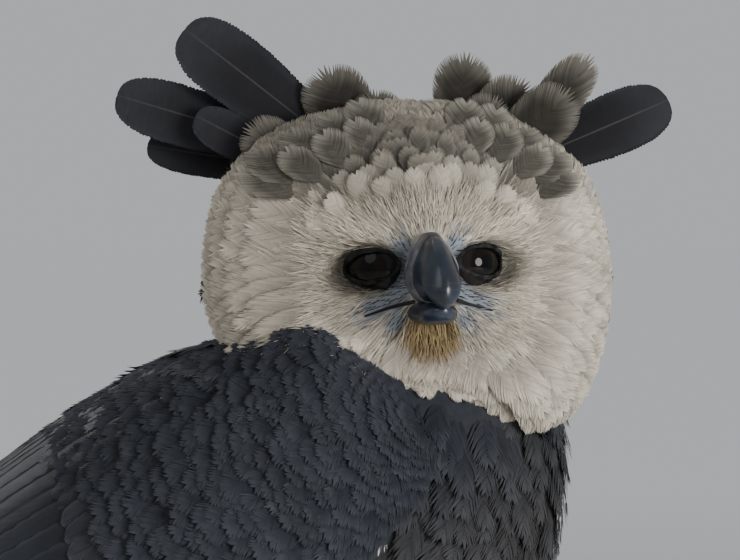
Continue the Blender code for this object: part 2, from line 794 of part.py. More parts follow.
def leg_loft(name, stations, count, side, scute=0.0):
    """A limb through its stations. With scute, every other ring stands out in front, as overlapping plates do."""
    rows = smooth_rows(stations, count)
    rings = []
    for i, (x, y, z, half_width, ahead, behind) in enumerate(rows):
        before = rows[max(i - 1, 0)]
        after = rows[min(i + 1, count - 1)]
        along = Vector((after[0] - before[0], 0.0, after[2] - before[2])).normalized()
        front = Vector((-along.z, 0.0, along.x))
        ring = []
        for j in range(LEG_SIDES):
            turn = 2 * math.pi * j / LEG_SIDES
            reach = ahead if math.cos(turn) > 0 else behind
            if i % 2 and math.cos(turn) > 0.1:
                reach += scute
            ring.append(
                Vector((x, side * y, z))
                + Vector((0.0, side, 0.0)) * half_width * math.sin(turn)
                + front * reach * math.cos(turn)
            )
        rings.append(ring)
    return loft(name, rings)


# Toes: name, heading in degrees from straight ahead (outward is positive), length, base and end radius,
# claw length along its curve, claw base radius. Sizes in mm.
TOES = (
    ("inner", -27.0, 60.0, 10.5, 8.6, 58.0, 7.4),
    ("middle", 2.0, 84.0, 10.5, 8.4, 46.0, 6.4),
    ("outer", 46.0, 60.0, 10.0, 7.8, 38.0, 5.6),
    ("hind", 176.0, 44.0, 11.0, 9.2, 66.0, 8.4),
)
FOOT_CENTRE = Vector((0.004, 0.060, 0.0))
SOLE_CUT = 3.8
TOE_SIDES = 8


def toe_path(side, heading):
    turn = math.radians(heading) * side
    return Vector((math.cos(turn), math.sin(turn), 0.0))


def toe(name, side, heading, length, base, end):
    """A toe on the floor: pads swell between the joints, and the sole is cut flat."""
    way = toe_path(side, heading)
    across = Vector((-way.y, way.x, 0.0))
    start = Vector((FOOT_CENTRE.x, side * FOOT_CENTRE.y, 0.0)) + way * 12.0 * MM
    rings = []
    count = 9
    for i in range(count):
        t = i / (count - 1)
        radius = base + (end - base) * t
        swell = 1 + 0.06 * math.cos(6 * math.pi * t)
        if i == 0:
            swell *= 0.85
        if i == count - 1:
            swell *= 0.62
        high = (radius * 0.96 + 1.5 * math.sin(math.pi * t)) * MM
        ring = []
        for j in range(TOE_SIDES):
            turn = 2 * math.pi * j / TOE_SIDES
            height = high + radius * swell * MM * math.cos(turn)
            if i % 2 and math.cos(turn) > 0.3:
                height += 1.0 * MM
            ring.append(
                start
                + way * length * MM * t
                + across * radius * swell * MM * math.sin(turn)
                + Vector((0.0, 0.0, max(height, SOLE_CUT * MM) - SOLE_CUT * MM))
            )
        rings.append(ring)
    return loft(name, rings)


def claw(name, side, heading, length, toe_length, radius):
    """A hooked claw that leaves the toe rising and comes down to just clear of the floor."""
    way = toe_path(side, heading)
    across = Vector((-way.y, way.x, 0.0))
    start = Vector((FOOT_CENTRE.x, side * FOOT_CENTRE.y, 0.0)) + way * (12.0 + toe_length - 2.5) * MM
    centre = start + Vector((0.0, 0.0, 9.6 * MM))
    bend = math.radians(128.0)
    rise = math.radians(52.0)
    count = 7
    rings = []
    place = centre.copy()
    for i in range(count):
        t = i / (count - 1)
        slope = rise - bend * t
        along = way * math.cos(slope) + Vector((0.0, 0.0, 1.0)) * math.sin(slope)
        over = Vector((0.0, 0.0, 1.0)) * math.cos(slope) - way * math.sin(slope)
        thick = radius * MM * (1 - 0.94 * t**1.25)
        rings.append(
            [
                place
                + across * 0.82 * thick * math.sin(2 * math.pi * j / 7)
                + over * thick * math.cos(2 * math.pi * j / 7)
                for j in range(7)
            ]
        )
        place = place + along * length * MM / (count - 1)
    made = loft(name, rings)
    lowest = min(v.co.z for v in made.data.vertices)
    if lowest < 0.6 * MM:
        for vert in made.data.vertices:
            vert.co.z += (0.6 * MM - lowest) * min(1.0, (vert.co - start).dot(way) / (0.4 * length * MM))
    return made


def thigh_hem(side):
    """Long feathers that hang over the top of the bare shank."""
    made = []
    rows = smooth_rows(THIGH_STATIONS, 31)
    for k in range(6):
        turn = math.radians(60.0 * k)
        line = []
        normals = []
        for t in (0.0, 0.4, 0.75, 1.0):
            row = rows[min(int(23 + 7 * t), 30)]
            x, y, z, half_width, ahead, behind = row
            lift = float(np.interp(t, (0.0, 0.4, 1.0), (-4.0, 0.8, 2.0))) * MM
            reach = ahead if math.cos(turn) > 0 else behind
            out = Vector((math.cos(turn), side * math.sin(turn), 0.0))
            drop = 0.012 * t * (1.6 if math.cos(turn) < -0.3 else 1.0)
            line.append(
                Vector((x - 0.2 * drop, side * y, z - drop))
                + Vector((out.x * (reach + lift), out.y * (half_width + lift), 0.0))
            )
            normals.append(out)
        widths = [11.0 * s * MM for s in (0.7, 1.0, 0.9, 0.35)]
        made.append(vane("hem" + str(k), line, normals, widths, VANE_THICK, 0.0, 0.07))
    return made


def leg(side):
    word = "left" if side > 0 else "right"
    thigh = leg_loft("thigh_" + word, THIGH_STATIONS, 11, side)
    keep_envelope(thigh)
    shank = leg_loft("shank_" + word, SHANK_STATIONS, 16, side, 1.1 * MM)
    keep_envelope(shank)
    boolean(thigh, thigh_hem(side), "UNION", ("MANIFOLD",))
    cut(thigh, "torso", shank.name)
    for number, (part, heading, length, base, end, claw_length, claw_radius) in enumerate(TOES):
        made = toe("toe_" + part + "_" + word, side, heading, length, base, end)
        keep_envelope(made)
        cut(made, shank.name, *("toe_" + other[0] + "_" + word for other in TOES[:number]))
        nail = claw("claw_" + part + "_" + word, side, heading, claw_length, length, claw_radius)
        cut(nail, made.name)


def main():
    clear_scene()
    torso, neck = torso_and_neck()
    keep_envelope(torso)
    keep_envelope(neck)
    head = head_core()
    keep_envelope(head)
    collar = bpy.data.objects.new("collar", ENVELOPES["neck"].copy())
    bpy.context.scene.collection.objects.link(collar)
    boolean(collar, [grown(head, 0.5 * GAP)], "DIFFERENCE")
    ENVELOPES["collar"] = collar.data
    bpy.data.objects.remove(collar, do_unlink=True)
    cut(neck, "torso", "head")
    cere, upper, lower = bill()
    for piece in (cere, upper):
        keep_envelope(piece)
    keep_envelope(lower)
    cut(lower, "cere", "upper_bill")
    boolean(head, ruff_feathers(5) + crest_feathers(), "UNION", ("MANIFOLD",))
    cut(head, "cere", "upper_bill", "lower_bill")
    open_eyes(head)
    open_mouth(head)
    open_nostrils(cere)
    for side in (1, -1):
        keep_envelope(eye(side))
    cut(cere, "eye_left", "eye_right")
    for side in (1, -1):
        leg(side)
    wings = [wing_body(side) for side in (1, -1)]
    for number, wing in enumerate(wings):
        keep_envelope(wing, 6.4 * MM)
        boolean(wing, wing_feathers(1 - 2 * number, 11), "UNION", ("MANIFOLD",))
    room = tail_form("tail_room", TAIL_LENGTH + 0.004, 0.052, 0.0085, 0.006, 9)
    keep_envelope(room)
    bpy.data.objects.remove(room, do_unlink=True)
    tail = tail_form("tail", 0.105, 0.020, 0.005, 0.006, 5)
    boolean(tail, tail_feathers(), "UNION", ("MANIFOLD",))
    cut(tail, "torso")
    for wing in wings:
        cut(wing, "torso", "neck", "tail_room", "thigh_right", "thigh_left")
    cut(head, "torso", "collar", "wing_right", "wing_left")
    settle()
    paint_all()


# Colour, roughness of each kind of surface.
PAINTS = {
    "feathers_dark": ((0.035, 0.037, 0.042), 0.75),
    "feathers_grey": ((0.26, 0.24, 0.22), 0.85),
    "feathers_chest": ((0.06, 0.06, 0.065), 0.85),
    "feathers_pale": ((0.62, 0.60, 0.56), 0.85),
    "horn": ((0.02, 0.022, 0.028), 0.28),
    "cere": ((0.05, 0.052, 0.06), 0.45),
    "eyeball": ((0.012, 0.010, 0.009), 0.05),
    "leg_skin": ((0.62, 0.47, 0.16), 0.6),
}
SURFACES = (
    ("head", "feathers_grey"),
    ("cere", "cere"),
    ("upper_bill", "horn"),
    ("lower_bill", "horn"),
    ("eye", "eyeball"),
    ("neck", "feathers_chest"),
    ("torso", "feathers_pale"),
    ("wing", "feathers_dark"),
    ("tail", "feathers_dark"),
    ("thigh", "feathers_pale"),
    ("shank", "leg_skin"),
    ("toe", "leg_skin"),
    ("claw", "horn"),
)


def paint_all():
    for name, (colour, roughness) in PAINTS.items():
        paint = bpy.data.materials.new(name)
        paint.use_nodes = True
        shader = paint.node_tree.nodes["Principled BSDF"]
        shader.inputs["Base Color"].default_value = (*colour, 1.0)
        shader.inputs["Roughness"].default_value = roughness
        shader.inputs["Metallic"].default_value = 0.0
    for made in bpy.data.objects:
        if made.type != "MESH":
            continue
        for start, name in SURFACES:
            if made.name.startswith(start):
                made.data.materials.clear()
                made.data.materials.append(bpy.data.materials[name])


def settle():
    """Moves the bird so that the middle of its box stands on the origin, and gives each piece its own origin."""
    solids = [made for made in bpy.data.objects if made.type == "MESH"]
    corners = np.array([vert.co for made in solids for vert in made.data.vertices])
    low = corners.min(axis=0)
    high = corners.max(axis=0)
    move = Vector((-(low[0] + high[0]) / 2, -(low[1] + high[1]) / 2, -low[2]))
    home = bpy.data.collections.new("harpy eagle")
    bpy.context.scene.collection.children.link(home)
    stand = bpy.data.objects.new("harpy_eagle", None)
    home.objects.link(stand)
    for made in solids:
        points = np.array([vert.co for vert in made.data.vertices])
        middle = Vector(((points.min(axis=0) + points.max(axis=0)) / 2).tolist())
        made.data.transform(Matrix.Translation(-middle))
        made.location = middle + move
        made.parent = stand
        for owner in list(made.users_collection):
            owner.objects.unlink(made)
        home.objects.link(made)
        made.data.shade_smooth()
        made.data.set_sharp_from_angle(angle=math.radians(40))


main()
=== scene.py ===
"""Harpy eagle: the looks of a life-size standing model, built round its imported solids.

Metres, +Z up. The body faces +X and the head looks towards -Y, over the bird's right shoulder.
Head sizes are in mm: to the bird's left, forward along the bill, and up.
"""

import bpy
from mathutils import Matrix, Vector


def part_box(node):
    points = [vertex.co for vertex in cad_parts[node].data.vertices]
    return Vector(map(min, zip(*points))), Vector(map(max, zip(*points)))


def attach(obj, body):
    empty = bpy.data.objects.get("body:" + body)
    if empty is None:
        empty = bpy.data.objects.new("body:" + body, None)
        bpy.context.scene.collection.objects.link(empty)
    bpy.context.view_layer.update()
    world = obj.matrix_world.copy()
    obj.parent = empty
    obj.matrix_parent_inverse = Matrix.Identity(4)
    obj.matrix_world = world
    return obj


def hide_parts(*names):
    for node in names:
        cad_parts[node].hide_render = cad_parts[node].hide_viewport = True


bl_info = {
    "name": "Harpy eagle",
    "version": (1, 0, 0),
    "blender": (4, 5, 0),
    "location": "3D view > Sidebar > Eagle",
    "description": "Skin, plumage, bill, eyes and feet of a life-size harpy eagle",
    "category": "Add Mesh",
}

import math

import bmesh
import bpy
import numpy as np
from bpy.props import FloatProperty, FloatVectorProperty, IntProperty, PointerProperty
from mathutils import Vector
from mathutils.bvhtree import BVHTree

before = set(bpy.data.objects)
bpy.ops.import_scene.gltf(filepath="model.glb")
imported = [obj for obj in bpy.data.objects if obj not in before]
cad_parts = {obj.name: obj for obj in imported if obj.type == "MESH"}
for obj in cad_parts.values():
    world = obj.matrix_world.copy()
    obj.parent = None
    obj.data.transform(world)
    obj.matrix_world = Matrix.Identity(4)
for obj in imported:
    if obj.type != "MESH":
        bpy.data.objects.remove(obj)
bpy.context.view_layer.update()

MM = 0.001
UP = np.array((0.0, 0.0, 1.0))

# Body stations from tail root to the top of the neck:
# x, y, z of the centre, half width, depth above it, depth below it, slope in degrees.
BODY_STATIONS = (
    (-0.210, 0.000, 0.298, 0.022, 0.016, 0.018, 24.0),
    (-0.165, 0.000, 0.318, 0.046, 0.036, 0.040, 24.0),
    (-0.100, 0.000, 0.345, 0.074, 0.064, 0.074, 25.0),
    (-0.020, 0.000, 0.376, 0.096, 0.078, 0.096, 24.0),
    (0.055, 0.000, 0.408, 0.106, 0.092, 0.110, 27.0),
    (0.118, 0.000, 0.438, 0.103, 0.086, 0.114, 40.0),
    (0.150, -0.006, 0.480, 0.084, 0.070, 0.085, 60.0),
    (0.152, -0.022, 0.520, 0.064, 0.056, 0.066, 76.0),
    (0.150, -0.044, 0.556, 0.044, 0.044, 0.044, 86.0),
)
# How steeply the coat lies along the body: x, more of it higher up, and degrees.
BODY_LIE = ((-0.1, 18.0), (0.06, 24.0), (0.13, 45.0), (0.18, 80.0))
# Wing stations from wrist to wing tip:
# x, z of the centre, half width, depth above it, top edge and low edge in degrees from the back line.
WING_STATIONS = (
    (0.158, 0.458, 0.104, 0.070, 44.0, 84.0),
    (0.132, 0.446, 0.122, 0.102, 30.0, 96.0),
    (0.090, 0.424, 0.130, 0.110, 20.0, 104.0),
    (0.040, 0.402, 0.127, 0.100, 14.0, 107.0),
    (-0.020, 0.375, 0.115, 0.084, 10.0, 106.0),
    (-0.100, 0.343, 0.095, 0.071, 8.0, 103.0),
    (-0.180, 0.312, 0.076, 0.058, 8.0, 100.0),
    (-0.260, 0.279, 0.060, 0.045, 16.0, 95.0),
    (-0.335, 0.248, 0.048, 0.038, 40.0, 86.0),
)
# The share of a wing that its core fills, and how much lower the left one lies.
WING_CORE_END = 0.88
LEFT_WING_DROP = 0.008
# Shares of a wing's thickness, and metres, by which its surface is rounded off at the edges.
EDGE_ROUNDING = 0.35
TOP_EDGE_DROP = 0.0050
# The near shoulder bulges where the head turns over it: share of the wing and place across it, spreads of
# both, and height.
MOUND = (0.115, 0.14)
MOUND_SPREAD = (0.06, 0.22)
MOUND_HEIGHT = 0.0115

# The head's middle, which way it looks, and how far it tilts to its right.
HEAD_CENTRE = np.array((0.150, -0.060, 0.548))
HEAD_TURN = math.radians(-85.0)
HEAD_ROLL = math.radians(2.5)
# Sections of the head's core: forward, half width, height above, height below.
HEAD_STATIONS = (
    (-60.0, 14.0, 14.0, 10.0),
    (-50.0, 35.0, 37.0, 28.0),
    (-32.0, 52.0, 57.0, 42.0),
    (-10.0, 60.0, 68.0, 50.0),
    (8.0, 55.0, 63.0, 48.0),
    (18.0, 43.0, 53.0, 42.0),
    (26.0, 31.0, 43.0, 36.0),
    (33.0, 19.0, 31.0, 30.0),
    (38.0, 12.0, 21.0, 24.0),
)
# The ruff's tips seen from straight ahead: left, up.
RUFF_OUTLINE = (
    (2.0, 74.0), (34.0, 70.0), (64.0, 58.0), (83.0, 40.0), (91.0, 16.0), (92.0, -12.0), (86.0, -40.0),
    (73.0, -66.0), (58.0, -74.0), (36.0, -66.0), (14.0, -60.0), (-12.0, -58.0), (-38.0, -62.0),
    (-62.0, -62.0), (-82.0, -46.0), (-93.0, -22.0), (-94.0, 2.0), (-89.0, 30.0), (-76.0, 50.0),
    (-38.0, 68.0),
)
# The face's dome: share of the outline's reach, then forward, from the middle of the face round to the nape.
DOME = (
    (0.00, 36.0), (0.15, 35.0), (0.30, 31.5), (0.45, 26.5), (0.60, 19.5), (0.75, 11.0), (0.88, 1.0),
    (0.97, -9.0), (1.00, -19.0), (0.96, -28.0), (0.86, -38.0), (0.68, -49.0), (0.45, -57.0), (0.00, -60.0),
)
# How far the ruff's lowest tips lean forward.
BEARD_LEAN = 30.0

# The eyeballs: radius, the front of the left one, how far it looks outward, and the slant of its corners.
EYE_RADIUS = 15.0
EYE_FRONT = (27.5, 32.0, 0.0)
EYE_OUTWARD = math.radians(35.0)
EYE_SLANT = 0.10
# The lids' opening: half width, height above and below its middle. Then their outer reach, and how far both
# lie outward and up of the pupil.
LID_OPENING = (12.4, 5.9, 6.3)
LID_REACH = (14.8, 8.4)
LID_SHIFT = 0.8
# Rows of the lids, from the opening out and back behind: share of the way out, height over the eyeball.
LID_ROWS = (
    (0.0, -1.0), (0.0, 0.25), (0.10, 0.75), (0.22, 0.5), (0.34, 1.1), (0.46, 0.6),
    (0.60, 1.2), (0.74, 0.5), (0.88, 0.7), (1.0, -1.2), (0.95, -3.0), (0.1, -1.6),
)

# Seen from straight ahead, beside the middle line and up: the bare lores as lines and reaches, the brow, the
# mouth's line, and the rusty chin.
LORES = (
    (((12.0, 9.0), (14.0, -13.0)), 4.4),
    (((13.5, -13.0), (26.0, -18.8)), 4.0),
    (((12.5, -20.0), (16.0, -26.0)), 3.6),
)
BROW = ((15.0, 9.5), (42.0, 19.5))
GAPE = ((9.8, -15.6), (29.0, -21.4))
CHIN = ((0.0, -25.0), (0.0, -30.0))
# Where the near shoulder covers the head: places to the side and up, in head sizes.
SHOULDER_LINE = (
    (-90.0, -52.0), (-78.0, -46.0), (-60.0, -43.0), (-40.0, -45.0), (-25.0, -52.0), (-14.0, -62.0),
    (-8.0, -99.0),
)

# Upper bill: forward and up of the middle line, half width, half depth, tilt of the section in degrees.
CERE_STATIONS = (
    (30.0, -2.0, 11.5, 15.5, 0.0),
    (37.0, -1.5, 12.3, 16.2, 2.0),
    (43.0, -1.0, 12.2, 16.0, 5.0),
    (46.5, -1.2, 11.8, 15.4, 7.0),
)
BILL_STATIONS = (
    (46.9, -1.2, 11.4, 15.0, 7.0),
    (53.0, -2.4, 10.8, 13.8, 16.0),
    (60.0, -5.6, 9.2, 11.6, 32.0),
    (65.5, -11.0, 7.0, 8.6, 52.0),
    (68.3, -17.0, 4.6, 5.4, 72.0),
    (69.0, -22.5, 2.4, 2.8, 86.0),
    (68.6, -26.5, 0.8, 0.8, 92.0),
)
# The share that is left of the hook's length.
BILL_SHORTER = 0.60
# How wide the bill's base is at heights over the middle line, and the upper bill where it tilts by an angle.
BASE_WIDTHS = ((-17.0, 0.94), (-9.0, 1.02), (-3.0, 0.97), (3.0, 0.90), (9.0, 0.82), (14.0, 0.74))
BILL_WIDTHS = ((7.0, 0.90), (30.0, 0.98), (52.0, 1.2), (72.0, 1.45), (92.0, 1.8))
# Shares by which the sections are narrowed along the culmen, and along the foot of the bill and the cere.
CULMEN = 0.42
BILL_FOOT = 0.12
CERE_FOOT = 0.15
LOWER_BILL_STATIONS = (
    (30.0, -20.5, 11.5, 5.0, 0.0),
    (40.0, -21.0, 11.2, 5.2, 0.0),
    (50.0, -21.5, 9.8, 4.8, 0.0),
    (57.0, -21.2, 7.6, 3.9, 2.0),
    (61.5, -20.6, 4.6, 2.6, 4.0),
    (63.2, -20.2, 2.0, 1.4, 6.0),
)
# Each crest feather: root and tip seen from straight ahead (left, up) with forward last, and half width.
CREST = (
    ((-18.3, 42.7, -26.0), (-98.6, 106.7, -40.0), 17.5),
    ((-26.8, 45.5, -30.0), (-128.8, 76.8, -46.0), 14.5),
    ((-25.9, 39.6, -35.0), (-114.0, 54.1, -52.0), 10.5),
    ((-33.3, 34.0, -19.0), (-95.1, 67.3, -30.0), 10.5),
    ((-33.0, 33.9, -13.0), (-74.4, 62.5, -18.0), 13.0),
    ((-15.9, 45.3, -21.0), (-37.6, 89.0, -29.0), 16.0),
    ((-8.0, 45.2, -14.0), (-16.6, 78.8, -20.0), 12.5),
    ((22.2, 45.4, -28.0), (31.0, 96.1, -38.0), 14.0),
    ((22.2, 45.3, -21.0), (56.9, 83.6, -29.0), 13.5),
    ((19.5, 45.2, -14.0), (42.5, 75.6, -19.0), 12.0),
    ((32.2, 40.7, -13.0), (75.4, 78.8, -18.0), 14.0),
    ((40.0, 40.0, -24.0), (87.9, 94.7, -34.0), 11.0),
    ((34.0, 38.0, -30.0), (127.0, 75.4, -48.0), 15.0),
)
# Short rounded feathers in front of them: tip seen from straight ahead, and half width.
CREST_FANS = (
    (-74.0, 52.0, 10.0), (-57.0, 61.0, 10.0), (-40.0, 69.0, 10.5), (-25.0, 75.0, 9.0), (26.0, 75.0, 9.5),
    (40.0, 72.0, 10.5), (55.0, 63.0, 10.0), (69.0, 52.0, 9.5),
)
# The outer crest feathers are slate; those nearer the crown are brown-grey with a pale rim.
CREST_SLATE = (0, 1, 2, 3, 12)

# The tail: where it starts, how it slopes down, its length, and the step from a feather to the one below it.
TAIL_ROOT = np.array((-0.196, 0.0, 0.300))
TAIL_DROP = math.radians(27.0)
TAIL_LENGTH = 0.375
TAIL_STEP = 1.3 * MM

THIGH_STATIONS = (
    (0.036, 0.052, 0.390, 0.036, 0.050, 0.050),
    (0.034, 0.060, 0.335, 0.045, 0.060, 0.058),
    (0.026, 0.064, 0.280, 0.044, 0.053, 0.052),
    (0.008, 0.065, 0.232, 0.038, 0.043, 0.045),
    (-0.012, 0.065, 0.188, 0.031, 0.033, 0.037),
    (-0.026, 0.064, 0.152, 0.024, 0.024, 0.030),
    (-0.033, 0.063, 0.128, 0.017, 0.017, 0.024),
)
SHANK_STATIONS = (
    (-0.0355, 0.063, 0.150, 0.0125, 0.0125, 0.0135),
    (-0.0340, 0.063, 0.126, 0.0135, 0.0140, 0.0150),
    (-0.0225, 0.062, 0.090, 0.0120, 0.0130, 0.0125),
    (-0.0085, 0.061, 0.055, 0.0125, 0.0135, 0.0125),
    (0.0005, 0.060, 0.030, 0.0160, 0.0175, 0.0160),
    (0.0020, 0.060, 0.014, 0.0170, 0.0200, 0.0170),
)
# Toes: name, heading in degrees from straight ahead, length, base and end radius, claw length, claw radius.
TOES = (
    ("inner", -27.0, 60.0, 10.5, 8.6, 58.0, 7.4),
    ("middle", 2.0, 84.0, 10.5, 8.4, 46.0, 6.4),
    ("outer", 46.0, 60.0, 10.0, 7.8, 38.0, 5.6),
    ("hind", 176.0, 44.0, 11.0, 9.2, 66.0, 8.4),
)
# The middle of a foot, and how much of the toes' round undersides the flat soles take off, in mm.
FOOT_CENTRE = (0.004, 0.060)
SOLE_CUT = 3.2 + 0.6
# In mm: where the toes start from the foot's middle, how far a claw reaches back into its toe, the height
# of the middle of its root, and how far its lowest point stays off the floor.
TOE_START = 12.0
CLAW_OVERLAP = 2.5
CLAW_ROOT_HEIGHT = 9.6
CLAW_CLEARANCE = 0.6

# Feather outlines: share of the length, share of the half width.
FLIGHT_VANE = ((0.0, 0.5), (0.2, 0.85), (0.5, 1.0), (0.8, 0.97), (0.92, 0.78), (0.98, 0.42), (1.0, 0.12))
FAN_VANE = ((0.0, 0.3), (0.3, 0.72), (0.6, 1.0), (0.8, 0.97), (0.92, 0.78), (1.0, 0.45), (1.03, 0.12))
HAIR = ((0.0, 1.0), (0.5, 0.9), (1.0, 0.15))
CREST_VANE = (
    (0.0, 0.3), (0.3, 0.74), (0.6, 0.97), (0.74, 1.0), (0.84, 0.95), (0.9, 0.84), (0.945, 0.7), (0.975, 0.52),
    (0.99, 0.36), (1.0, 0.1),
)

# The side of the square that each feather takes up in the bake map.
FEATHER_PATCH = 0.003
# How far the skin lies inside the solids, so that the plumage fills the rest: metres, and mm on the head.
BODY_SINK = 0.0045
WING_SINK = 0.0025
FACE_SINK = 4.5
CORE_SINK = 2.0
# Bars along a barred feather, their colour, and the colour of a plain feather's shaft.
BARS = 2.6
BAR_TONE = (0.02, 0.021, 0.024)
SHAFT_TONE = (0.012, 0.012, 0.014)

BIRD = {}


def curve(a, b, c, d, t):
    """A place on the Catmull-Rom curve between b and c, t running from 0 to 1."""
    return b + 0.5 * t * (c - a + t * (2 * a - 5 * b + 4 * c - d + t * (3 * (b - c) + d - a)))


def smooth_rows(stations, count):
    """Reads count rows, evenly spaced, from a Catmull-Rom curve through the stations."""
    rows = np.array(stations, float)
    ends = np.vstack([2 * rows[0] - rows[1], rows, 2 * rows[-1] - rows[-2]])
    value = np.linspace(0, len(rows) - 1, count)
    start = np.minimum(value.astype(int), len(rows) - 2)
    t = (value - start)[:, None]
    return curve(*(ends[start + k] for k in range(4)), t)


def unit(vectors):
    return vectors / np.maximum(np.linalg.norm(vectors, axis=-1, keepdims=True), 1e-12)


def circle(sides):
    """Angles of so many points evenly round a circle."""
    return 2 * np.pi * np.arange(sides) / sides


def read_column(table, value, column=1):
    """One column of a table, at values of its first column."""
    rows = np.array(table, float)
    return np.interp(value, rows[:, 0], rows[:, column])


def joined(*values):
    """Values side by side along a new last axis, such as x, y and z."""
    return np.stack(values, axis=-1)


def between(first, second, share):
    """Values that lie a share of the way from the first to the second."""
    return first * (1 - share) + second * share


def smooth_step(low, high, value):
    t = np.clip((value - low) / (high - low), 0.0, 1.0)
    return t * t * (3 - 2 * t)


def head_axes():
    """The head's own directions, left, forward and up, as the columns of a matrix."""
    forward = np.array((math.cos(HEAD_TURN), math.sin(HEAD_TURN), 0.0))
    left = np.cross(UP, forward)
    cos, sin = math.cos(HEAD_ROLL), math.sin(HEAD_ROLL)
    return np.column_stack((left * cos + UP * sin, forward, UP * cos - left * sin))


HEAD_AXES = head_axes()


def bill_rings(stations, count, sides, ridge, keel):
    """Sections of a horn form, in head sizes: each is an egg, narrow along the culmen and along its foot."""
    turn = circle(sides)
    rise = np.cos(turn)
    narrow = 1 - np.where(rise > 0, ridge, keel) * np.abs(rise) ** 1.5
    rows = smooth_rows(stations, count)
    slope = np.radians(rows[:, 4:5])
    across = rows[:, 2:3] * np.sin(turn) * narrow
    ahead = rows[:, 0:1] + rows[:, 3:4] * rise * np.sin(slope)
    up = rows[:, 1:2] + rows[:, 3:4] * rise * np.cos(slope)
    return joined(across, ahead, up)


def bell(up, around):
    """How much to widen the bill's egg sections: straight sides, narrow above, full at the foot."""
    return np.maximum(np.abs(np.sin(around)), 0.05) ** -0.42 * read_column(BASE_WIDTHS, up)


def find_shift():
    """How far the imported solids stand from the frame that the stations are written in."""
    rings = bill_rings(BILL_STATIONS, 11, 12, CULMEN, BILL_FOOT).reshape(-1, 3)
    points = HEAD_CENTRE + MM * rings @ HEAD_AXES.T
    low, high = (np.array(corner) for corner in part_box("upper_bill"))
    return (low + high) / 2 - (points.min(axis=0) + points.max(axis=0)) / 2


SHIFT = find_shift()


def on_head(places):
    """Points of the scene for places given in head sizes."""
    return HEAD_CENTRE + SHIFT + MM * np.asarray(places, float) @ HEAD_AXES.T


def head_sizes(points):
    """The reverse of on_head."""
    return (points - HEAD_CENTRE - SHIFT) @ HEAD_AXES / MM


def outline_reach(turn):
    """How far the ruff's tips stand from the head's middle line, turn being measured from the crown."""
    outline = np.array(RUFF_OUTLINE)
    turns = np.arctan2(outline[:, 0], outline[:, 1]) % (2 * np.pi)
    order = np.argsort(turns)
    reach = np.hypot(outline[:, 0], outline[:, 1])
    return np.interp((turn - HEAD_ROLL) % (2 * np.pi), turns[order], reach[order], period=2 * np.pi)


def dome(turn, along, sink=0.0):
    """Places on the face's dome: along runs through the rows of DOME, sink is how far inside it they lie."""
    rows = smooth_rows(DOME, 105)
    value = np.clip(along, 0.0, 1.0) * 104
    start = np.minimum(value.astype(int), 103)
    mixed = rows[start] + (rows[start + 1] - rows[start]) * (value - start)[..., None]
    slope = rows[start + 1] - rows[start]
    slope = joined(slope[..., 0] * 90.0, slope[..., 1])
    slope = unit(slope)
    reach = mixed[..., 0] * outline_reach(turn) + slope[..., 1] * sink
    lean = BEARD_LEAN * np.maximum(0.0, -np.cos(turn)) * np.maximum(mixed[..., 0], 0.0) ** 1.5
    ahead = mixed[..., 1] + lean - slope[..., 0] * sink
    return joined(reach * np.sin(turn), ahead, reach * np.cos(turn))


def body_rings(count, sides, sink):
    rows = smooth_rows(BODY_STATIONS, count)
    slope = np.radians(rows[:, 6:7])
    turn = circle(sides)
    depth = np.where(np.cos(turn) > 0, rows[:, 4:5], rows[:, 5:6]) - sink
    high = depth * np.cos(turn)
    x = rows[:, 0:1] - np.sin(slope) * high
    z = rows[:, 2:3] + np.cos(slope) * high
    y = rows[:, 1:2] - (rows[:, 3:4] - sink) * np.sin(turn)
    return joined(x, y, z) + SHIFT


WING_ROWS = smooth_rows(WING_STATIONS, 129)
WING_SLOPES = unit(np.gradient(WING_ROWS[:, :2], axis=0))


def wing_points(side_sign, share, across, reach):
    """Points over a wing: across runs from its top edge (0) to its low edge (1), reach is outward."""
    places = (np.asarray(value, float) for value in (share, across, reach))
    share, across, reach = np.broadcast_arrays(*places)
    value = np.clip(share, 0.0, 1.0) * 128
    start = np.minimum(value.astype(int), 127)
    t = (value - start)[..., None]
    row = between(WING_ROWS[start], WING_ROWS[start + 1], t)
    slope = unit(between(WING_SLOPES[start], WING_SLOPES[start + 1], t))
    turn = np.radians(row[..., 4] + (row[..., 5] - row[..., 4]) * across)
    past = np.maximum(share - 1.0, 0.0) * 0.56
    drop = LEFT_WING_DROP * np.minimum(1.0, 4.0 * np.maximum(share, 0.0)) if side_sign < 0 else 0.0
    if side_sign > 0:
        from_mound = ((share - MOUND[0]) / MOUND_SPREAD[0]) ** 2
        from_mound = from_mound + ((across - MOUND[1]) / MOUND_SPREAD[1]) ** 2
        reach = reach + MOUND_HEIGHT * np.exp(-from_mound)
    high = (row[..., 3] + reach) * np.cos(turn)
    x = row[..., 0] + slope[..., 0] * past + slope[..., 1] * high
    z = row[..., 1] - drop + slope[..., 1] * past - slope[..., 0] * high
    y = -side_sign * (row[..., 2] + reach) * np.sin(turn)
    return joined(x, y, z) + SHIFT


def wing_thickness(share, at_tip):
    return 0.030 * (1 - share) ** 2 + 0.006 * (1 - share) + at_tip


def rounded(share, across):
    """How far the wing's surface is rounded off towards its top and low edges."""
    thick = wing_thickness(share, 0.0015)
    near_edge = 1 - np.sin(np.pi * np.clip(across, 0.001, 0.999)) ** 0.5
    over_back = smooth_step(0.03, 0.17, share)
    at_edge = EDGE_ROUNDING * thick * (0.1 + 0.9 * over_back)
    return (at_edge + TOP_EDGE_DROP * over_back * (across < 0.5)) * near_edge


def over_wing(side, share, across, reach):
    """Places over a wing's rounded surface, and which way is out from it there."""
    reach = reach - rounded(share, across)
    places = wing_points(side, share, across, reach)
    return places, unit(places - wing_points(side, share, across, reach - 0.01))


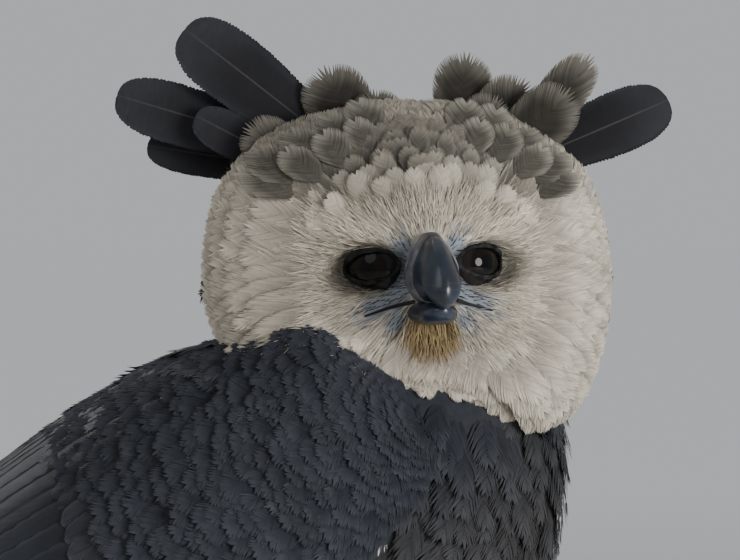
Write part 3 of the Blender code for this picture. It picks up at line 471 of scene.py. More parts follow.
def wing_rings(side_sign, sink):
    share = WING_CORE_END * np.linspace(0, 1, 40)[:, None]
    across = np.linspace(0, 1, 18)[None, :]
    thick = wing_thickness(share, 0.0025)
    edge = EDGE_ROUNDING * thick * (1 - np.sin(np.pi * across) ** 0.5)
    outer = wing_points(side_sign, share, across, -edge - sink)
    inner = wing_points(side_sign, share, across, -thick - sink)
    return np.concatenate((outer, inner[:, ::-1]), axis=1)


def limb_rings(stations, count, sides, side, sink):
    rows = smooth_rows(stations, count)
    lie = unit(np.gradient(rows[:, [0, 2]], axis=0))
    turn = circle(sides)
    reach = np.where(np.cos(turn) > 0, rows[:, 4:5], rows[:, 5:6]) - sink
    x = rows[:, 0:1] - lie[:, 1:2] * reach * np.cos(turn)
    z = rows[:, 2:3] + lie[:, 0:1] * reach * np.cos(turn)
    y = side * (rows[:, 1:2] + (rows[:, 3:4] - sink) * np.sin(turn))
    return joined(x, y, z) + SHIFT


def tail_points(along, across, over):
    """Points of the tail: along from its root, across to the bird's left, over its top side."""
    way = np.array((-math.cos(TAIL_DROP), 0.0, -math.sin(TAIL_DROP)))
    rise = np.array((-math.sin(TAIL_DROP), 0.0, math.cos(TAIL_DROP)))
    places = (np.asarray(value, float)[..., None] for value in (along, across, over))
    along, across, over = np.broadcast_arrays(*places)
    return TAIL_ROOT + SHIFT + way * along + np.array((0.0, 1.0, 0.0)) * across + rise * over


def tail_rings():
    t = np.linspace(0, 1, 12)[:, None]
    turn = circle(24)
    along = 0.105 * t
    half_width = 0.023 + 0.020 * (along / TAIL_LENGTH) ** 0.7
    half_thick = 0.006 * (1 - t) + 0.003
    return tail_points(along, half_width * np.sin(turn), half_thick * np.cos(turn) - 0.003 * t)


def lofted(rings):
    """Points and four-sided faces of a closed form through rings, each end closed to its middle."""
    count, sides = rings.shape[:2]
    points = np.vstack((rings.reshape(-1, 3), rings[0].mean(axis=0), rings[-1].mean(axis=0)))
    i, j = np.meshgrid(np.arange(count - 1), np.arange(sides), indexing="ij")
    k = (j + 1) % sides
    faces = joined(i * sides + j, i * sides + k, (i + 1) * sides + k, (i + 1) * sides + j)
    faces = [tuple(face) for face in faces.reshape(-1, 4)]
    last = (count - 1) * sides
    for side in range(sides):
        after = (side + 1) % sides
        faces.append((after, side, count * sides))
        faces.append((last + side, last + after, count * sides + 1))
    return points, faces


def placed(mesh):
    """An object of the mesh's own name, in the scene."""
    made = bpy.data.objects.new(mesh.name, mesh)
    bpy.context.scene.collection.objects.link(made)
    return made


def mesh_object(name, parts):
    """One object from a list of (points, faces)."""
    points = []
    faces = []
    for part_points, part_faces in parts:
        start = sum(len(p) for p in points)
        points.append(np.asarray(part_points))
        faces += [tuple(start + int(v) for v in face) for face in part_faces]
    mesh = bpy.data.meshes.new(name)
    mesh.from_pydata(np.vstack(points).tolist(), [], faces)
    mesh.update()
    clean = bmesh.new()
    clean.from_mesh(mesh)
    bmesh.ops.recalc_face_normals(clean, faces=clean.faces)
    clean.to_mesh(mesh)
    clean.free()
    mesh.shade_smooth()
    return placed(mesh)


def apply_modifiers(made):
    graph = bpy.context.evaluated_depsgraph_get()
    mesh = bpy.data.meshes.new_from_object(made.evaluated_get(graph))
    made.modifiers.clear()
    made.data = mesh
    mesh.shade_smooth()


def fused(made, voxel, rounds, factor=0.5):
    """Makes one closed skin of forms that run into each other."""
    remesh = made.modifiers.new("fuse", "REMESH")
    remesh.mode = "VOXEL"
    remesh.voxel_size = voxel
    smooth = made.modifiers.new("soften", "SMOOTH")
    smooth.factor = factor
    smooth.iterations = rounds
    apply_modifiers(made)
    return made


def points_of(mesh):
    points = np.empty(len(mesh.vertices) * 3, np.float32)
    mesh.vertices.foreach_get("co", points)
    return points.reshape(-1, 3).astype(float)


def set_points(mesh, points):
    mesh.vertices.foreach_set("co", points.astype(np.float32).ravel())
    mesh.update()


def store(mesh, name, kind, values):
    """A named value on each point of a mesh: a vector of three numbers, or a colour."""
    layer = mesh.attributes.new(name, kind, "POINT")
    if kind == "FLOAT_COLOR":
        values = np.column_stack((values, np.ones(len(values))))
        layer.data.foreach_set("color", values.astype(np.float32).ravel())
    else:
        layer.data.foreach_set("vector", values.astype(np.float32).ravel())


def finish_piece(made, paint, slot, *nodes):
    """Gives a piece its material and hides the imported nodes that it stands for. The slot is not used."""
    made.data.materials.clear()
    made.data.materials.append(paint)
    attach(made, "root")
    if nodes:
        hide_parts(*nodes)
    return made


class Wire:
    """A shader socket that takes part in Python's own arithmetic."""

    def __init__(self, recipe, socket):
        self.recipe = recipe
        self.socket = socket

    def maths(self, operation, first, second=0.0):
        settings = {"operation": operation}
        return self.recipe.node("ShaderNodeMath", settings, {0: first, 1: second})

    def __add__(self, other):
        return self.maths("ADD", self, other)

    def __radd__(self, other):
        return self.maths("ADD", other, self)

    def __sub__(self, other):
        return self.maths("SUBTRACT", self, other)

    def __rsub__(self, other):
        return self.maths("SUBTRACT", other, self)

    def __mul__(self, other):
        return self.maths("MULTIPLY", self, other)

    def __rmul__(self, other):
        return self.maths("MULTIPLY", other, self)

    def size(self):
        return self.maths("ABSOLUTE", self)

    def wave(self):
        return self.maths("SINE", self)

    def at_least(self, other):
        return self.maths("MAXIMUM", self, other)


class Recipe:
    """A material and its nodes. Everything ends in one Principled BSDF."""

    def __init__(self, name, **constants):
        self.material = bpy.data.materials.new(name)
        self.material.use_nodes = True
        self.tree = self.material.node_tree
        self.shader = self.tree.nodes["Principled BSDF"]
        for socket, value in constants.items():
            self.socket(socket).default_value = value

    def socket(self, name):
        return self.shader.inputs[name.replace("_", " ").title().replace("Ior", "IOR")]

    def node(self, kind, settings=None, inputs=None, output=0):
        """Any node: its settings first, then the values or links of its sockets."""
        made = self.tree.nodes.new(kind)
        for key, value in (settings or {}).items():
            setattr(made, key, value)
        for key, value in (inputs or {}).items():
            if isinstance(value, Wire):
                self.tree.links.new(value.socket, made.inputs[key])
            else:
                made.inputs[key].default_value = value
        return Wire(self, made.outputs[output])

    def feed(self, **wires):
        for socket, wire in wires.items():
            self.tree.links.new(wire.socket, self.socket(socket))

    def named(self, name, output="Vector"):
        return self.node("ShaderNodeAttribute", {"attribute_name": name}, output=output)

    def parts(self, vector):
        return [self.node("ShaderNodeSeparateXYZ", None, {0: vector}, output=k) for k in range(3)]

    def place(self):
        return self.node("ShaderNodeTexCoord", output="Object")

    def noise(self, scale, detail, vector=None):
        inputs = {"Vector": vector or self.place(), "Scale": scale, "Detail": detail}
        return self.node("ShaderNodeTexNoise", None, inputs)

    def ramp(self, value, low, high):
        """0 below low, 1 above high, smooth between. High may be the smaller one."""
        inputs = {"Value": value, "From Min": low, "From Max": high}
        return self.node("ShaderNodeMapRange", {"interpolation_type": "SMOOTHSTEP"}, inputs)

    def mix(self, share, first, second):
        def colour(value):
            return value if isinstance(value, Wire) else (*value, 1.0)

        inputs = {0: share, 6: colour(first), 7: colour(second)}
        return self.node("ShaderNodeMix", {"data_type": "RGBA"}, inputs, output=2)

    def scaled(self, colour, factor):
        """A colour made brighter or darker by a number that varies."""
        grey = self.node("ShaderNodeCombineXYZ", None, {0: factor, 1: factor, 2: factor})
        return self.node("ShaderNodeVectorMath", {"operation": "MULTIPLY"}, {0: colour, 1: grey})

    def bump(self, height, strength, distance):
        inputs = {"Strength": strength, "Distance": distance, "Height": height}
        self.feed(normal=self.node("ShaderNodeBump", None, inputs))


def barb_lines(along, length, out, half, chance, gap):
    """Fine lines over a vane, so many mm apart, that sweep forward from the shaft to the edge."""
    cross = along * length - 0.9 * out * half
    return 0.5 + 0.5 * (cross * (2 * math.pi / gap) + 6.0 * chance).wave()


def barred(recipe, tone, wave, bars):
    """Dark bars over a tone, as strong as the feathers' own share says."""
    bar = recipe.ramp(wave.wave(), 0.25, 0.6) * bars
    return recipe.mix(bar, tone, BAR_TONE)


def plumage(name, roughness, barb, barb_depth, shaft, mottle, shaft_tone=SHAFT_TONE):
    """Stiff feathers: a vane with an edge of another tone, lines of barbs sweeping out, and the shaft."""
    recipe = Recipe(name, roughness=roughness, specular_ior_level=0.12)
    across, along, chance = recipe.parts(recipe.named("vane"))
    half, length, bars = recipe.parts(recipe.named("span"))
    out = across.size()
    tip = recipe.ramp(along + 0.16 * out * out, 0.66, 1.02)
    edge = tip.at_least(0.55 * recipe.ramp(out, 0.55, 1.0))
    tone = recipe.mix(edge, recipe.named("tone", "Color"), recipe.named("edge", "Color"))
    barbs = barb_lines(along, length, out, half, chance, barb)
    tone = barred(recipe, tone, along * 2 * math.pi * BARS + chance, bars)
    fleck = recipe.noise(160.0, 4.0)
    tone = recipe.scaled(tone, 1 - barb_depth * barbs - mottle * (fleck - 0.5))
    rib = recipe.ramp(out * half, 0.55, 0.2) * shaft
    recipe.feed(base_color=recipe.mix(rib, tone, shaft_tone))
    recipe.bump(barbs + 0.5 * fleck, 0.35, 0.0004)
    return recipe.material


def down(name, roughness, mottle, contrast, edge_from):
    """Soft feathers with barbs of their own: tone in the middle, edge at the fringe, no two barbs alike."""
    recipe = Recipe(name, roughness=roughness, specular_ior_level=0.08)
    across, along, chance = recipe.parts(recipe.named("vane"))
    bars = recipe.parts(recipe.named("span"))[2]
    out = across.size()
    tip = recipe.ramp(along + 0.22 * out * out, edge_from, 1.05)
    edge = tip.at_least(0.6 * recipe.ramp(out, 0.45, 1.0))
    tone = recipe.mix(edge, recipe.named("tone", "Color"), recipe.named("edge", "Color"))
    tone = barred(recipe, tone, along * 2 * math.pi * BARS, bars)
    cloud = recipe.noise(70.0, 4.0)
    tone = recipe.scaled(tone, 1 + contrast * (chance - 0.5) - mottle * (cloud - 0.5))
    recipe.feed(base_color=tone)
    return recipe.material


def skin_paint():
    recipe = Recipe("under_down", roughness=0.95, specular_ior_level=0.1)
    fleck = recipe.noise(220.0, 5.0)
    tone = recipe.scaled(recipe.named("tone", "Color"), 0.62 + 0.5 * fleck)
    recipe.feed(base_color=tone)
    recipe.bump(fleck, 0.5, 0.0012)
    return recipe.material


def colour_of(name):
    return np.array(getattr(bpy.context.scene.eagle_plumage, name))


def size_of(name):
    return getattr(bpy.context.scene.eagle_sizes, name)


def regions(points):
    """Where points lie: in head sizes, turn from the crown, share of the ruff's reach, near the head or not.

    Last come their own places, in the frame that the stations are written in.
    """
    places = head_sizes(points)
    turn = np.arctan2(places[:, 0], places[:, 2])
    reach = np.hypot(places[:, 0], places[:, 2])
    share = reach / outline_reach(turn)
    near_head = (np.linalg.norm(places * (1.0, 0.9, 1.0), axis=1) < 130) & (places[:, 1] > -62)
    own = points - SHIFT
    return places, turn, share, near_head, own


def gap_to(line, beside, up):
    """How far places, given beside the middle line and up, are from a line between two such places."""
    start, end = (np.array(corner, float) for corner in line)
    away = joined(beside, up) - start
    along = np.clip(away @ (end - start) / ((end - start) @ (end - start)), 0.0, 1.0)
    return np.linalg.norm(away - along[:, None] * (end - start), axis=1)


def face_marks(places):
    """Shares of the bare lores, rusty chin, pale brow and dark rims of the eyes at places on the head."""
    beside, ahead, up = np.abs(places[:, 0]), places[:, 1], places[:, 2]
    lores = np.zeros(len(places))
    for line, reach in LORES:
        lores = np.maximum(lores, smooth_step(reach + 1.6, reach - 1.2, gap_to(line, beside, up)))
    lores = lores * (ahead > 12)
    chin = smooth_step(14.0, 7.0, gap_to(CHIN, beside, up)) * (ahead > 0)
    chin = chin * smooth_step(-40.0, -34.0, up)
    brow = np.exp(-((gap_to(BROW, beside, up) / 5.5) ** 2)) * (ahead > 0)
    rim = np.zeros(len(places))
    for side in (1, -1):
        across, high, out = eye_sizes(places, side)
        away = np.hypot(across / 15.5, (high + 1.2) / 9.6)
        rim = np.maximum(rim, smooth_step(1.35, 0.95, away) * (out > 0))
    return lores[:, None], chin[:, None], brow[:, None], rim[:, None]


def under_wing(places, above=0.0):
    """Which places on the head the near shoulder covers, or leaves bare by less than so far.

    Behind the head it is twice as far.
    """
    line = read_column(SHOULDER_LINE, places[:, 0])
    return places[:, 2] < line + above * (1 + smooth_step(-30.0, -50.0, places[:, 0]))


def tones(points, parts):
    """The colour of the plumage at points: tone, and edge, of each."""
    places, _, share, _, own = regions(points)
    face, crown, ruff, nape = map(colour_of, ("face", "crown", "ruff", "nape"))
    lores, rust, slate, slate_edge = map(colour_of, ("lores", "rust", "slate", "slate_edge"))
    chest, white = map(colour_of, ("chest", "white"))
    tone = np.tile(slate, (len(points), 1))
    edge = np.tile(slate_edge, (len(points), 1))
    head = parts == 0
    high = smooth_step(22.0, 42.0, places[:, 2] + 0.10 * np.abs(places[:, 0]))[:, None]
    # Toward the rim of the face the head takes the ruff's tone: partly the ruff's own darker grey, partly
    # painted shade between the ruff's rows.
    rim = smooth_step(0.62, 0.85, share)[:, None]
    head_tone = between(face, crown, high)
    head_tone = between(head_tone, ruff, 0.8 * rim)
    head_edge = between(face * 1.05, 0.30 * face + 0.5 * crown, high)
    behind = smooth_step(-22.0, -46.0, places[:, 1])[:, None]
    head_tone = between(head_tone, nape, behind)
    head_edge = between(head_edge, nape * 1.3, behind)
    bare, chin, brow, rim = face_marks(places)
    head_tone = between(head_tone, lores, bare) * (1 + 0.25 * brow)
    head_edge = between(head_edge, 1.6 * lores, bare) * (1 + 0.25 * brow)
    head_tone = between(head_tone * (1 - 0.7 * rim), rust, chin)
    head_edge = between(head_edge * (1 - 0.6 * rim), 1.3 * rust, chin)
    tone[head] = head_tone[head]
    edge[head] = head_edge[head]
    front = parts == 1
    belly = smooth_step(0.400, 0.372, own[:, 2] - 0.20 * (own[:, 0] - 0.10))[:, None]
    middle = read_column(BODY_STATIONS[:6], own[:, 0], 2)
    above = np.where(own[:, 0] < 0.0, own[:, 2] - middle, own[:, 2] - 0.408 - 0.45 * (own[:, 0] - 0.055))
    back = smooth_step(-0.01, 0.03, above)[:, None]
    under = between(chest, white, belly)
    tone[front] = between(under, slate, back)[front]
    edge[front] = np.minimum(between(under * 1.5, slate_edge, back)[front], 0.85)
    leg = parts == 3
    tone[leg] = white
    edge[leg] = white * 1.05
    return tone, edge


def part_of(points):
    """0 head, 1 body, 2 wing, 3 thigh: which part of the bird points on its skin belong to."""
    places, turn, share, near_head, own = regions(points)
    part = np.ones(len(points), int)
    mirrored = np.abs(own[:, 1])
    ring_y = read_column(BODY_STATIONS[:6], own[:, 0], 3)
    middle = read_column(BODY_STATIONS[:6], own[:, 0], 2)
    wing_top = np.interp(-own[:, 0], [-row[0] for row in WING_STATIONS], [row[2] for row in WING_STATIONS])
    outside = (mirrored > 0.86 * wing_top) & (own[:, 2] > middle - 0.05) & (own[:, 0] < 0.170)
    part[outside] = 2
    high = (own[:, 2] > middle + 0.060) & (mirrored > 0.035) & (own[:, 0] < 0.150) & (own[:, 0] > -0.36)
    part[high & (own[:, 2] < 0.56)] = 2
    thigh = (own[:, 2] < 0.335) & (own[:, 0] > -0.075) & (mirrored > 0.012)
    part[thigh & (mirrored < ring_y + 0.02)] = 3
    front = read_column(DOME[:9], share)
    front += BEARD_LEAN * np.maximum(0.0, -np.cos(turn)) * np.minimum(share, 1.0) ** 1.5 + 6.0
    part[near_head & (places[:, 1] > -64) & (own[:, 2] > 0.470) & (places[:, 1] < front)] = 0
    low_neck = (own[:, 2] < 0.515) & (places[:, 1] < 2)
    low_neck |= (places[:, 2] < -40.0) & (share > 0.93)
    part[(part == 0) & low_neck] = 1
    return part


NEIGHBOURS = [(x, y, z) for x in (-1, 0, 1) for y in (-1, 0, 1) for z in (-1, 0, 1)]


def gap_squared(first, second):
    return (first[0] - second[0]) ** 2 + (first[1] - second[1]) ** 2 + (first[2] - second[2]) ** 2


class Hide:
    """The bird's skin, for finding places on it and for walking over it."""

    def __init__(self, made):
        mesh = made.data
        mesh.calc_loop_triangles()
        self.points = points_of(mesh)
        faces = np.empty(len(mesh.loop_triangles) * 3, np.int32)
        mesh.loop_triangles.foreach_get("vertices", faces)
        self.faces = faces.reshape(-1, 3)
        self.tree = BVHTree.FromPolygons(self.points.tolist(), self.faces.tolist())
        corners = self.points[self.faces]
        cross = np.cross(corners[:, 1] - corners[:, 0], corners[:, 2] - corners[:, 0])
        self.areas = np.linalg.norm(cross, axis=1) / 2
        self.normals = unit(cross)
        self.middles = corners.mean(axis=1)

    def nearest(self, points):
        places = np.empty_like(points)
        normals = np.empty_like(points)
        for i, point in enumerate(points.tolist()):
            place, normal, _, _ = self.tree.find_nearest(point)
            places[i] = place
            normals[i] = normal
        return places, normals

    def scatter(self, wanted, spacing, chance):
        """Points over the wanted faces, no two nearer than spacing."""
        faces = np.flatnonzero(wanted)
        areas = self.areas[faces]
        count = int(5.0 * areas.sum() / spacing**2)
        picks = chance.choice(faces, count, p=areas / areas.sum())
        a, b = np.sort(chance.random((2, count)), axis=0)
        corners = self.points[self.faces[picks]]
        first, second, third = (shares[:, None] for shares in (a, b - a, 1 - b))
        points = corners[:, 0] * first + corners[:, 1] * second + corners[:, 2] * third
        cells = np.floor(points / spacing).astype(int)
        kept = []
        taken = {}
        for i, (cell, point) in enumerate(zip(cells.tolist(), points.tolist())):
            x, y, z = cell
            near = (other for dx, dy, dz in NEIGHBOURS for other in taken.get((x + dx, y + dy, z + dz), ()))
            if all(gap_squared(other, point) >= spacing * spacing for other in near):
                taken.setdefault((x, y, z), []).append(point)
                kept.append(i)
        kept = np.array(kept)
        return points[kept], self.normals[picks[kept]]

    def walk(self, roots, normals, lie, lengths, steps):
        """Paths over the skin from roots, following the lie of the coat."""
        path = [roots]
        faced = [normals]
        place, normal = roots, normals
        for _ in range(steps):
            way = lie(place)
            way = unit(way - normal * (way * normal).sum(axis=1, keepdims=True))
            place, normal = self.nearest(place + way * (lengths / steps)[:, None])
            path.append(place)
            faced.append(normal)
        return np.stack(path, axis=1), np.stack(faced, axis=1)


def read_paths(paths, shares):
    """Points at shares of each path's length, on Catmull-Rom curves through the given ones."""
    count = paths.shape[1]
    before = 2 * paths[:, :1] - paths[:, 1:2]
    after = 2 * paths[:, -1:] - paths[:, -2:-1]
    ends = np.concatenate((before, paths, after), axis=1)
    value = np.clip(shares, 0.0, 1.0) * (count - 1)
    start = np.minimum(value.astype(int), count - 2)
    t = (value - start)[:, None]
    return curve(*(ends[:, start + k] for k in range(4)), t)


def grow(name, paths, normals, half_widths, tone, edge, uv, chance, outline, rows, columns, teeth, sweep, cup,
         roll, ruffle=0.0, thick=0.0, uneven=None):
    """Many feathers as one mesh. Each follows its own path, with a toothed edge of barbs that sweep forward.

    The outline is in shares of the length and of the half width. Sweep and cup are shares of the half
    width, roll is how much feathers turn about their shafts, and uneven holds each one's widths to the left
    and to the right.
    """
    number = len(paths)
    shares = np.linspace(0.0, 1.0, rows + 1) ** 0.85
    shaft = read_paths(paths, shares)
    along = unit(np.gradient(shaft, axis=1))
    faced = unit(read_paths(normals, shares))
    side = unit(np.cross(along, faced))
    over = np.cross(side, along)
    form = np.interp(shares, *np.array(outline).T)
    across = np.linspace(-1.0, 1.0, int(2 * columns) + 1)
    half = half_widths[:, None] * form
    if uneven is None:
        leans = np.ones((number, 1, len(across)))
    else:
        leans = np.where(across < 0, uneven[:, 0, None, None], uneven[:, 1, None, None])
    jag = np.ones((number, rows + 1, len(across)))
    notch = (np.arange(rows + 1) % 2 == 1) & (np.arange(rows + 1) < rows)
    for column in (0, len(across) - 1):
        cut = teeth * (0.5 + chance.random((number, rows + 1)))
        jag[:, :, column] -= np.where(notch, cut, 0.25 * cut)
    out = across * jag * half[:, :, None] * leans
    ahead = sweep * np.abs(out) * (1 - 0.6 * shares)[:, None]
    tilt = roll * chance.standard_normal((number, 1, 1)) * out
    high = tilt - cup * np.abs(out) * np.abs(across)
    if ruffle:
        high = high + ruffle * chance.standard_normal(high.shape) * shares[:, None]
    points = (
        shaft[:, :, None]
        + side[:, :, None] * out[..., None]
        + along[:, :, None] * ahead[..., None]
        + over[:, :, None] * high[..., None]
    )
    wide = len(across)
    own = (rows + 1) * wide
    i, j = np.meshgrid(np.arange(rows), np.arange(wide - 1), indexing="ij")
    quads = joined(i * wide + j, i * wide + j + 1, (i + 1) * wide + j + 1, (i + 1) * wide + j)
    quads = quads.reshape(-1, 4)
    layers = [points]
    if thick:
        layers.append(points - over[:, :, None] * thick)
        rim = [(r * wide, (r + 1) * wide) for r in range(rows)]
        rim += [((r + 1) * wide + wide - 1, r * wide + wide - 1) for r in range(rows)]
        rim += [(c + 1, c) for c in range(wide - 1)]
        rim += [(rows * wide + c, rows * wide + c + 1) for c in range(wide - 1)]
        edges = np.array([(b, a, a + own, b + own) for a, b in rim])
        quads = np.vstack((quads, quads[:, ::-1] + own, edges))
    stacked = np.stack(layers, axis=1).reshape(number, -1, 3)
    luck = chance.random(number)
    vane = np.empty((number, len(layers), rows + 1, wide, 3))
    vane[..., 0] = across
    vane[..., 1] = shares[:, None]
    vane[..., 2] = luck[:, None, None, None]
    lengths = path_lengths(shaft)
    shade = 1 + 0.22 * (luck - 0.5)[:, None]
    spans = (half_widths, lengths, 0.0)
    vane = vane.reshape(number, -1, 3)
    return feather_mesh(name, stacked, quads, vane, spans, tone * shade, edge * shade, uv)


def path_lengths(paths):
    return np.linalg.norm(np.diff(paths, axis=1), axis=2).sum(axis=1)


def feather_mesh(name, points, quads, vane, spans, tone, edge, uv):
    """Joins like feathers into one mesh with its named values and its bake map.

    Points and vane hold a row for each feather, and quads are the faces of one. The vane is across, along
    and the lot drawn, and spans are the half widths, the lengths and the strength of the bars.
    """
    number, size = points.shape[:2]
    faces = (quads[None] + size * np.arange(number)[:, None, None]).reshape(-1, 4)
    half_widths, lengths, bars = spans
    span = np.column_stack((half_widths / MM, lengths / MM, np.full(number, bars)))
    values = {
        "vane": vane.reshape(-1, 3),
        "span": np.repeat(span, size, axis=0),
        "tone": np.repeat(tone, size, axis=0),
        "edge": np.repeat(edge, size, axis=0),
    }
    patch = FEATHER_PATCH * joined(0.5 * vane[..., 0], vane[..., 1] - 0.5)
    uv = (uv[:, None] + patch).reshape(-1, 2)
    points = points.reshape(-1, 3)
    mesh = bpy.data.meshes.new(name)
    mesh.vertices.add(len(points))
    mesh.vertices.foreach_set("co", points.astype(np.float32).ravel())
    mesh.loops.add(faces.size)
    mesh.loops.foreach_set("vertex_index", faces.astype(np.int32).ravel())
    mesh.polygons.add(len(faces))
    mesh.polygons.foreach_set("loop_start", np.arange(0, faces.size, 4, dtype=np.int32))
    mesh.update(calc_edges=True)
    mesh.shade_smooth()
    for key, value in values.items():
        store(mesh, key, "FLOAT_COLOR" if key in ("tone", "edge") else "FLOAT_VECTOR", value)
    layer = mesh.uv_layers.new(name="OFBake")
    layer.data.foreach_set("uv", uv[faces.ravel()].astype(np.float32).ravel())
    return placed(mesh)


def barbed(name, paths, normals, half_widths, tone, edge, uv, chance, outline=FAN_VANE, barbs=11, rows=2,
           sweep=2.3, cup=0.14, fluff=0.0003, loose=0.06, width=0.5, bars=0.0):
    """Soft feathers built barb by barb: each is a thin strip from the shaft out and forward to the outline.

    Sweep says how far forward the barbs run, width how wide they are, fluff how far they stray in metres,
    and loose how unequal their lengths are.
    """
    number = len(paths)
    lengths = path_lengths(paths)
    ratio = half_widths.mean() / lengths.mean()
    starts = np.linspace(0.04, 0.88, barbs)
    first = min(0.04 + sweep * ratio, 0.55)
    ends = first + (1.02 - first) * (1 - (1 - np.linspace(0.0, 1.0, barbs)) ** 1.4)
    form = np.interp(ends, *np.array(outline).T)
    t = np.linspace(0.0, 1.0, rows + 1)
    shares = starts[:, None] + (ends - starts)[:, None] * t**1.1
    out = form[:, None] * (1.05 * t**0.8 - 0.05)
    flat = shares.ravel()
    shaft = read_paths(paths, flat)
    before_tip = np.minimum(flat, 0.97)
    along = unit(read_paths(paths, before_tip + 0.03) - read_paths(paths, before_tip))
    shaft = shaft + along * (np.maximum(flat - 1.0, 0.0) * lengths[:, None])[..., None]
    side = unit(np.cross(along, unit(read_paths(normals, flat))))
    over = np.cross(side, along)
    rise = (ends - starts) / ratio
    slant = np.arctan2(rise, np.maximum(form, 0.05))
    lean = np.repeat(slant, rows + 1)[:, None]
    gap = width * (half_widths + 0.5 * lengths) / barbs
    taper = np.tile(np.interp(t, (0.0, 0.5, 1.0), (0.5, 1.0, 0.12)), barbs)
    wide = gap[:, None] * taper
    points, vane = [], []
    share_grid = np.broadcast_to(flat, (number, len(flat)))
    for sign in (-1.0, 1.0):
        luck = chance.random((number, barbs))
        reach = out * (1 + loose * chance.standard_normal((number, barbs))[..., None])
        across = (reach.reshape(number, -1) * half_widths[:, None])[..., None]
        drift = (fluff * chance.standard_normal((number, barbs, 1)) * t).reshape(number, -1)
        drop = -cup * out.ravel() ** 2 * half_widths[:, None] + drift
        slip = (1.5 * fluff * chance.standard_normal((number, barbs, 1)) * t).reshape(number, -1)
        place = shaft + side * sign * across + over * drop[..., None] + along * slip[..., None]
        beside = along * np.cos(lean) - side * sign * np.sin(lean)
        for edge_sign in (-1.0, 1.0):
            points.append(place + beside * (edge_sign * wide)[..., None])
            lots = luck.repeat(rows + 1, axis=1)
            vane.append(joined(sign * reach.reshape(number, -1), share_grid, lots))
    points = np.stack(points, axis=2).reshape(number, -1, 3)
    vane = np.stack(vane, axis=2).reshape(number, -1, 3)
    b, r = np.meshgrid(np.arange(barbs), np.arange(rows), indexing="ij")
    corner = 4 * (b * (rows + 1) + r)
    strips = [np.stack([corner + k + step for step in (0, 1, 5, 4)], axis=-1) for k in (0, 2)]
    shade = 1 + 0.2 * (chance.random((number, 1)) - 0.5)
    spans = (half_widths, lengths, bars)
    quads = np.stack(strips).reshape(-1, 4)
    return feather_mesh(name, points, quads, vane, spans, tone * shade, edge * shade, uv)


def round_unwrap(points, centre, axis, ahead):
    """A place in the unit square for each point: its turn round an axis, and how far along it lies."""
    axis = unit(np.array(axis, float))
    ahead = unit(np.cross(np.cross(axis, ahead), axis))
    beside = np.cross(axis, ahead)
    away = points - centre
    turn = np.arctan2(away @ beside, away @ ahead)
    height = away @ axis
    low, high = height.min(), height.max() + 1e-9
    u = 0.01 + 0.98 * (turn + np.pi) / (2 * np.pi)
    v = 0.01 + 0.98 * (height - low) / (high - low)
    return np.column_stack((u, v))


def lift_paths(paths, normals, root, tip, wobble, chance):
    """Raises paths off the skin: sunk at the root, standing off it at the tip."""
    share = np.linspace(0.0, 1.0, paths.shape[1])
    height = (root + (tip - root) * share**0.8) * np.ones((len(paths), 1))
    height[:, 1:] += wobble * chance.random((len(paths), 1)) * share[1:]
    return paths + normals * height[..., None]


def face_lie(points):
    """The coat of the head lies away from the bill, and down the nape behind."""
    places = head_sizes(points)
    away = places - (0.0, 42.0, -6.0)
    away[:, 1] *= 0.6
    back = smooth_step(-25.0, -50.0, places[:, 1])[:, None]
    return between(unit(away), np.array((0.0, -0.4, -1.0)), back) @ HEAD_AXES.T


def body_lie(points):
    """The coat of the body lies along it towards the tail, straight down on the neck."""
    own = points - SHIFT
    slope = np.radians(read_column(BODY_LIE, own[:, 0] + 0.5 * (own[:, 2] - 0.42)))
    return np.column_stack((-np.cos(slope), np.zeros(len(points)), -np.sin(slope)))


def thigh_lie(points):
    own = points - SHIFT
    way = np.tile((-0.28, 0.0, -1.0), (len(points), 1))
    way[:, 1] = 0.12 * np.sign(own[:, 1])
    return way


def all_of(colour):
    """A coat's tint: every feather in one dark colour, a little paler at its edge."""

    def tint(roots, *_):
        dark = np.tile(colour, (len(roots), 1))
        return dark, dark * 1.5

    return tint


def coat(name, wanted, seed, dress, spacing, length, half_width, height, wobble, steps=3, tint=None,
         maker=barbed, **form):
    """Feathers scattered over part of the skin and laid along it.

    The dress is their lie, bake map, paint and slot. The height holds those of the roots and of the tips in
    mm, and the wobble how uneven the tips are.
    """
    lie, unwrap, paint, slot = dress
    hide = BIRD["hide"]
    chance = np.random.default_rng(seed)
    roots, normals = hide.scatter(wanted, spacing, chance)
    lengths = length * (0.8 + 0.4 * chance.random(len(roots)))
    jitter = 0.16 * chance.standard_normal((len(roots), 3))

    def way(points):
        return unit(lie(points)) + jitter

    paths, faced = hide.walk(roots, normals, way, lengths, steps)
    paths = lift_paths(paths, faced, height[0] * MM, height[1] * MM, wobble * MM, chance)
    tone, edge = tones(roots, part_of(roots))
    if tint:
        tone, edge = tint(roots, tone, edge, chance)
    widths = half_width * (0.85 + 0.3 * chance.random(len(roots)))
    made = maker(name, paths, faced, widths, tone, edge, round_unwrap(roots, *unwrap), chance, **form)
    return finish_piece(made, paint, slot)


def eye_frame(side):
    """An eyeball's middle in head sizes, and its directions as rows: to the outer corner, up and outward."""
    axis = np.array((side * math.sin(EYE_OUTWARD), math.cos(EYE_OUTWARD), 0.0))
    outer = unit(np.cross(axis, UP) * side)
    up = unit(UP + EYE_SLANT * outer)
    outer = unit(np.cross(up, axis) * -side)
    centre = np.array((side * EYE_FRONT[0], EYE_FRONT[1], EYE_FRONT[2])) - EYE_RADIUS * axis
    return centre, np.stack((outer, up, axis))


def eye_sizes(places, side):
    """Places in an eye's own frame: towards the outer corner, up, and outward from the ball's middle."""
    centre, axes = eye_frame(side)
    return ((places - centre) @ axes.T).T


def head_unwrap():
    return on_head((0.0, -10.0, 0.0)), HEAD_AXES[:, 1], HEAD_AXES[:, 2]


def body_unwrap():
    return np.array((0.0, 0.0, 0.38)) + SHIFT, (0.92, 0.0, 0.40), (-0.40, 0.0, 0.92)


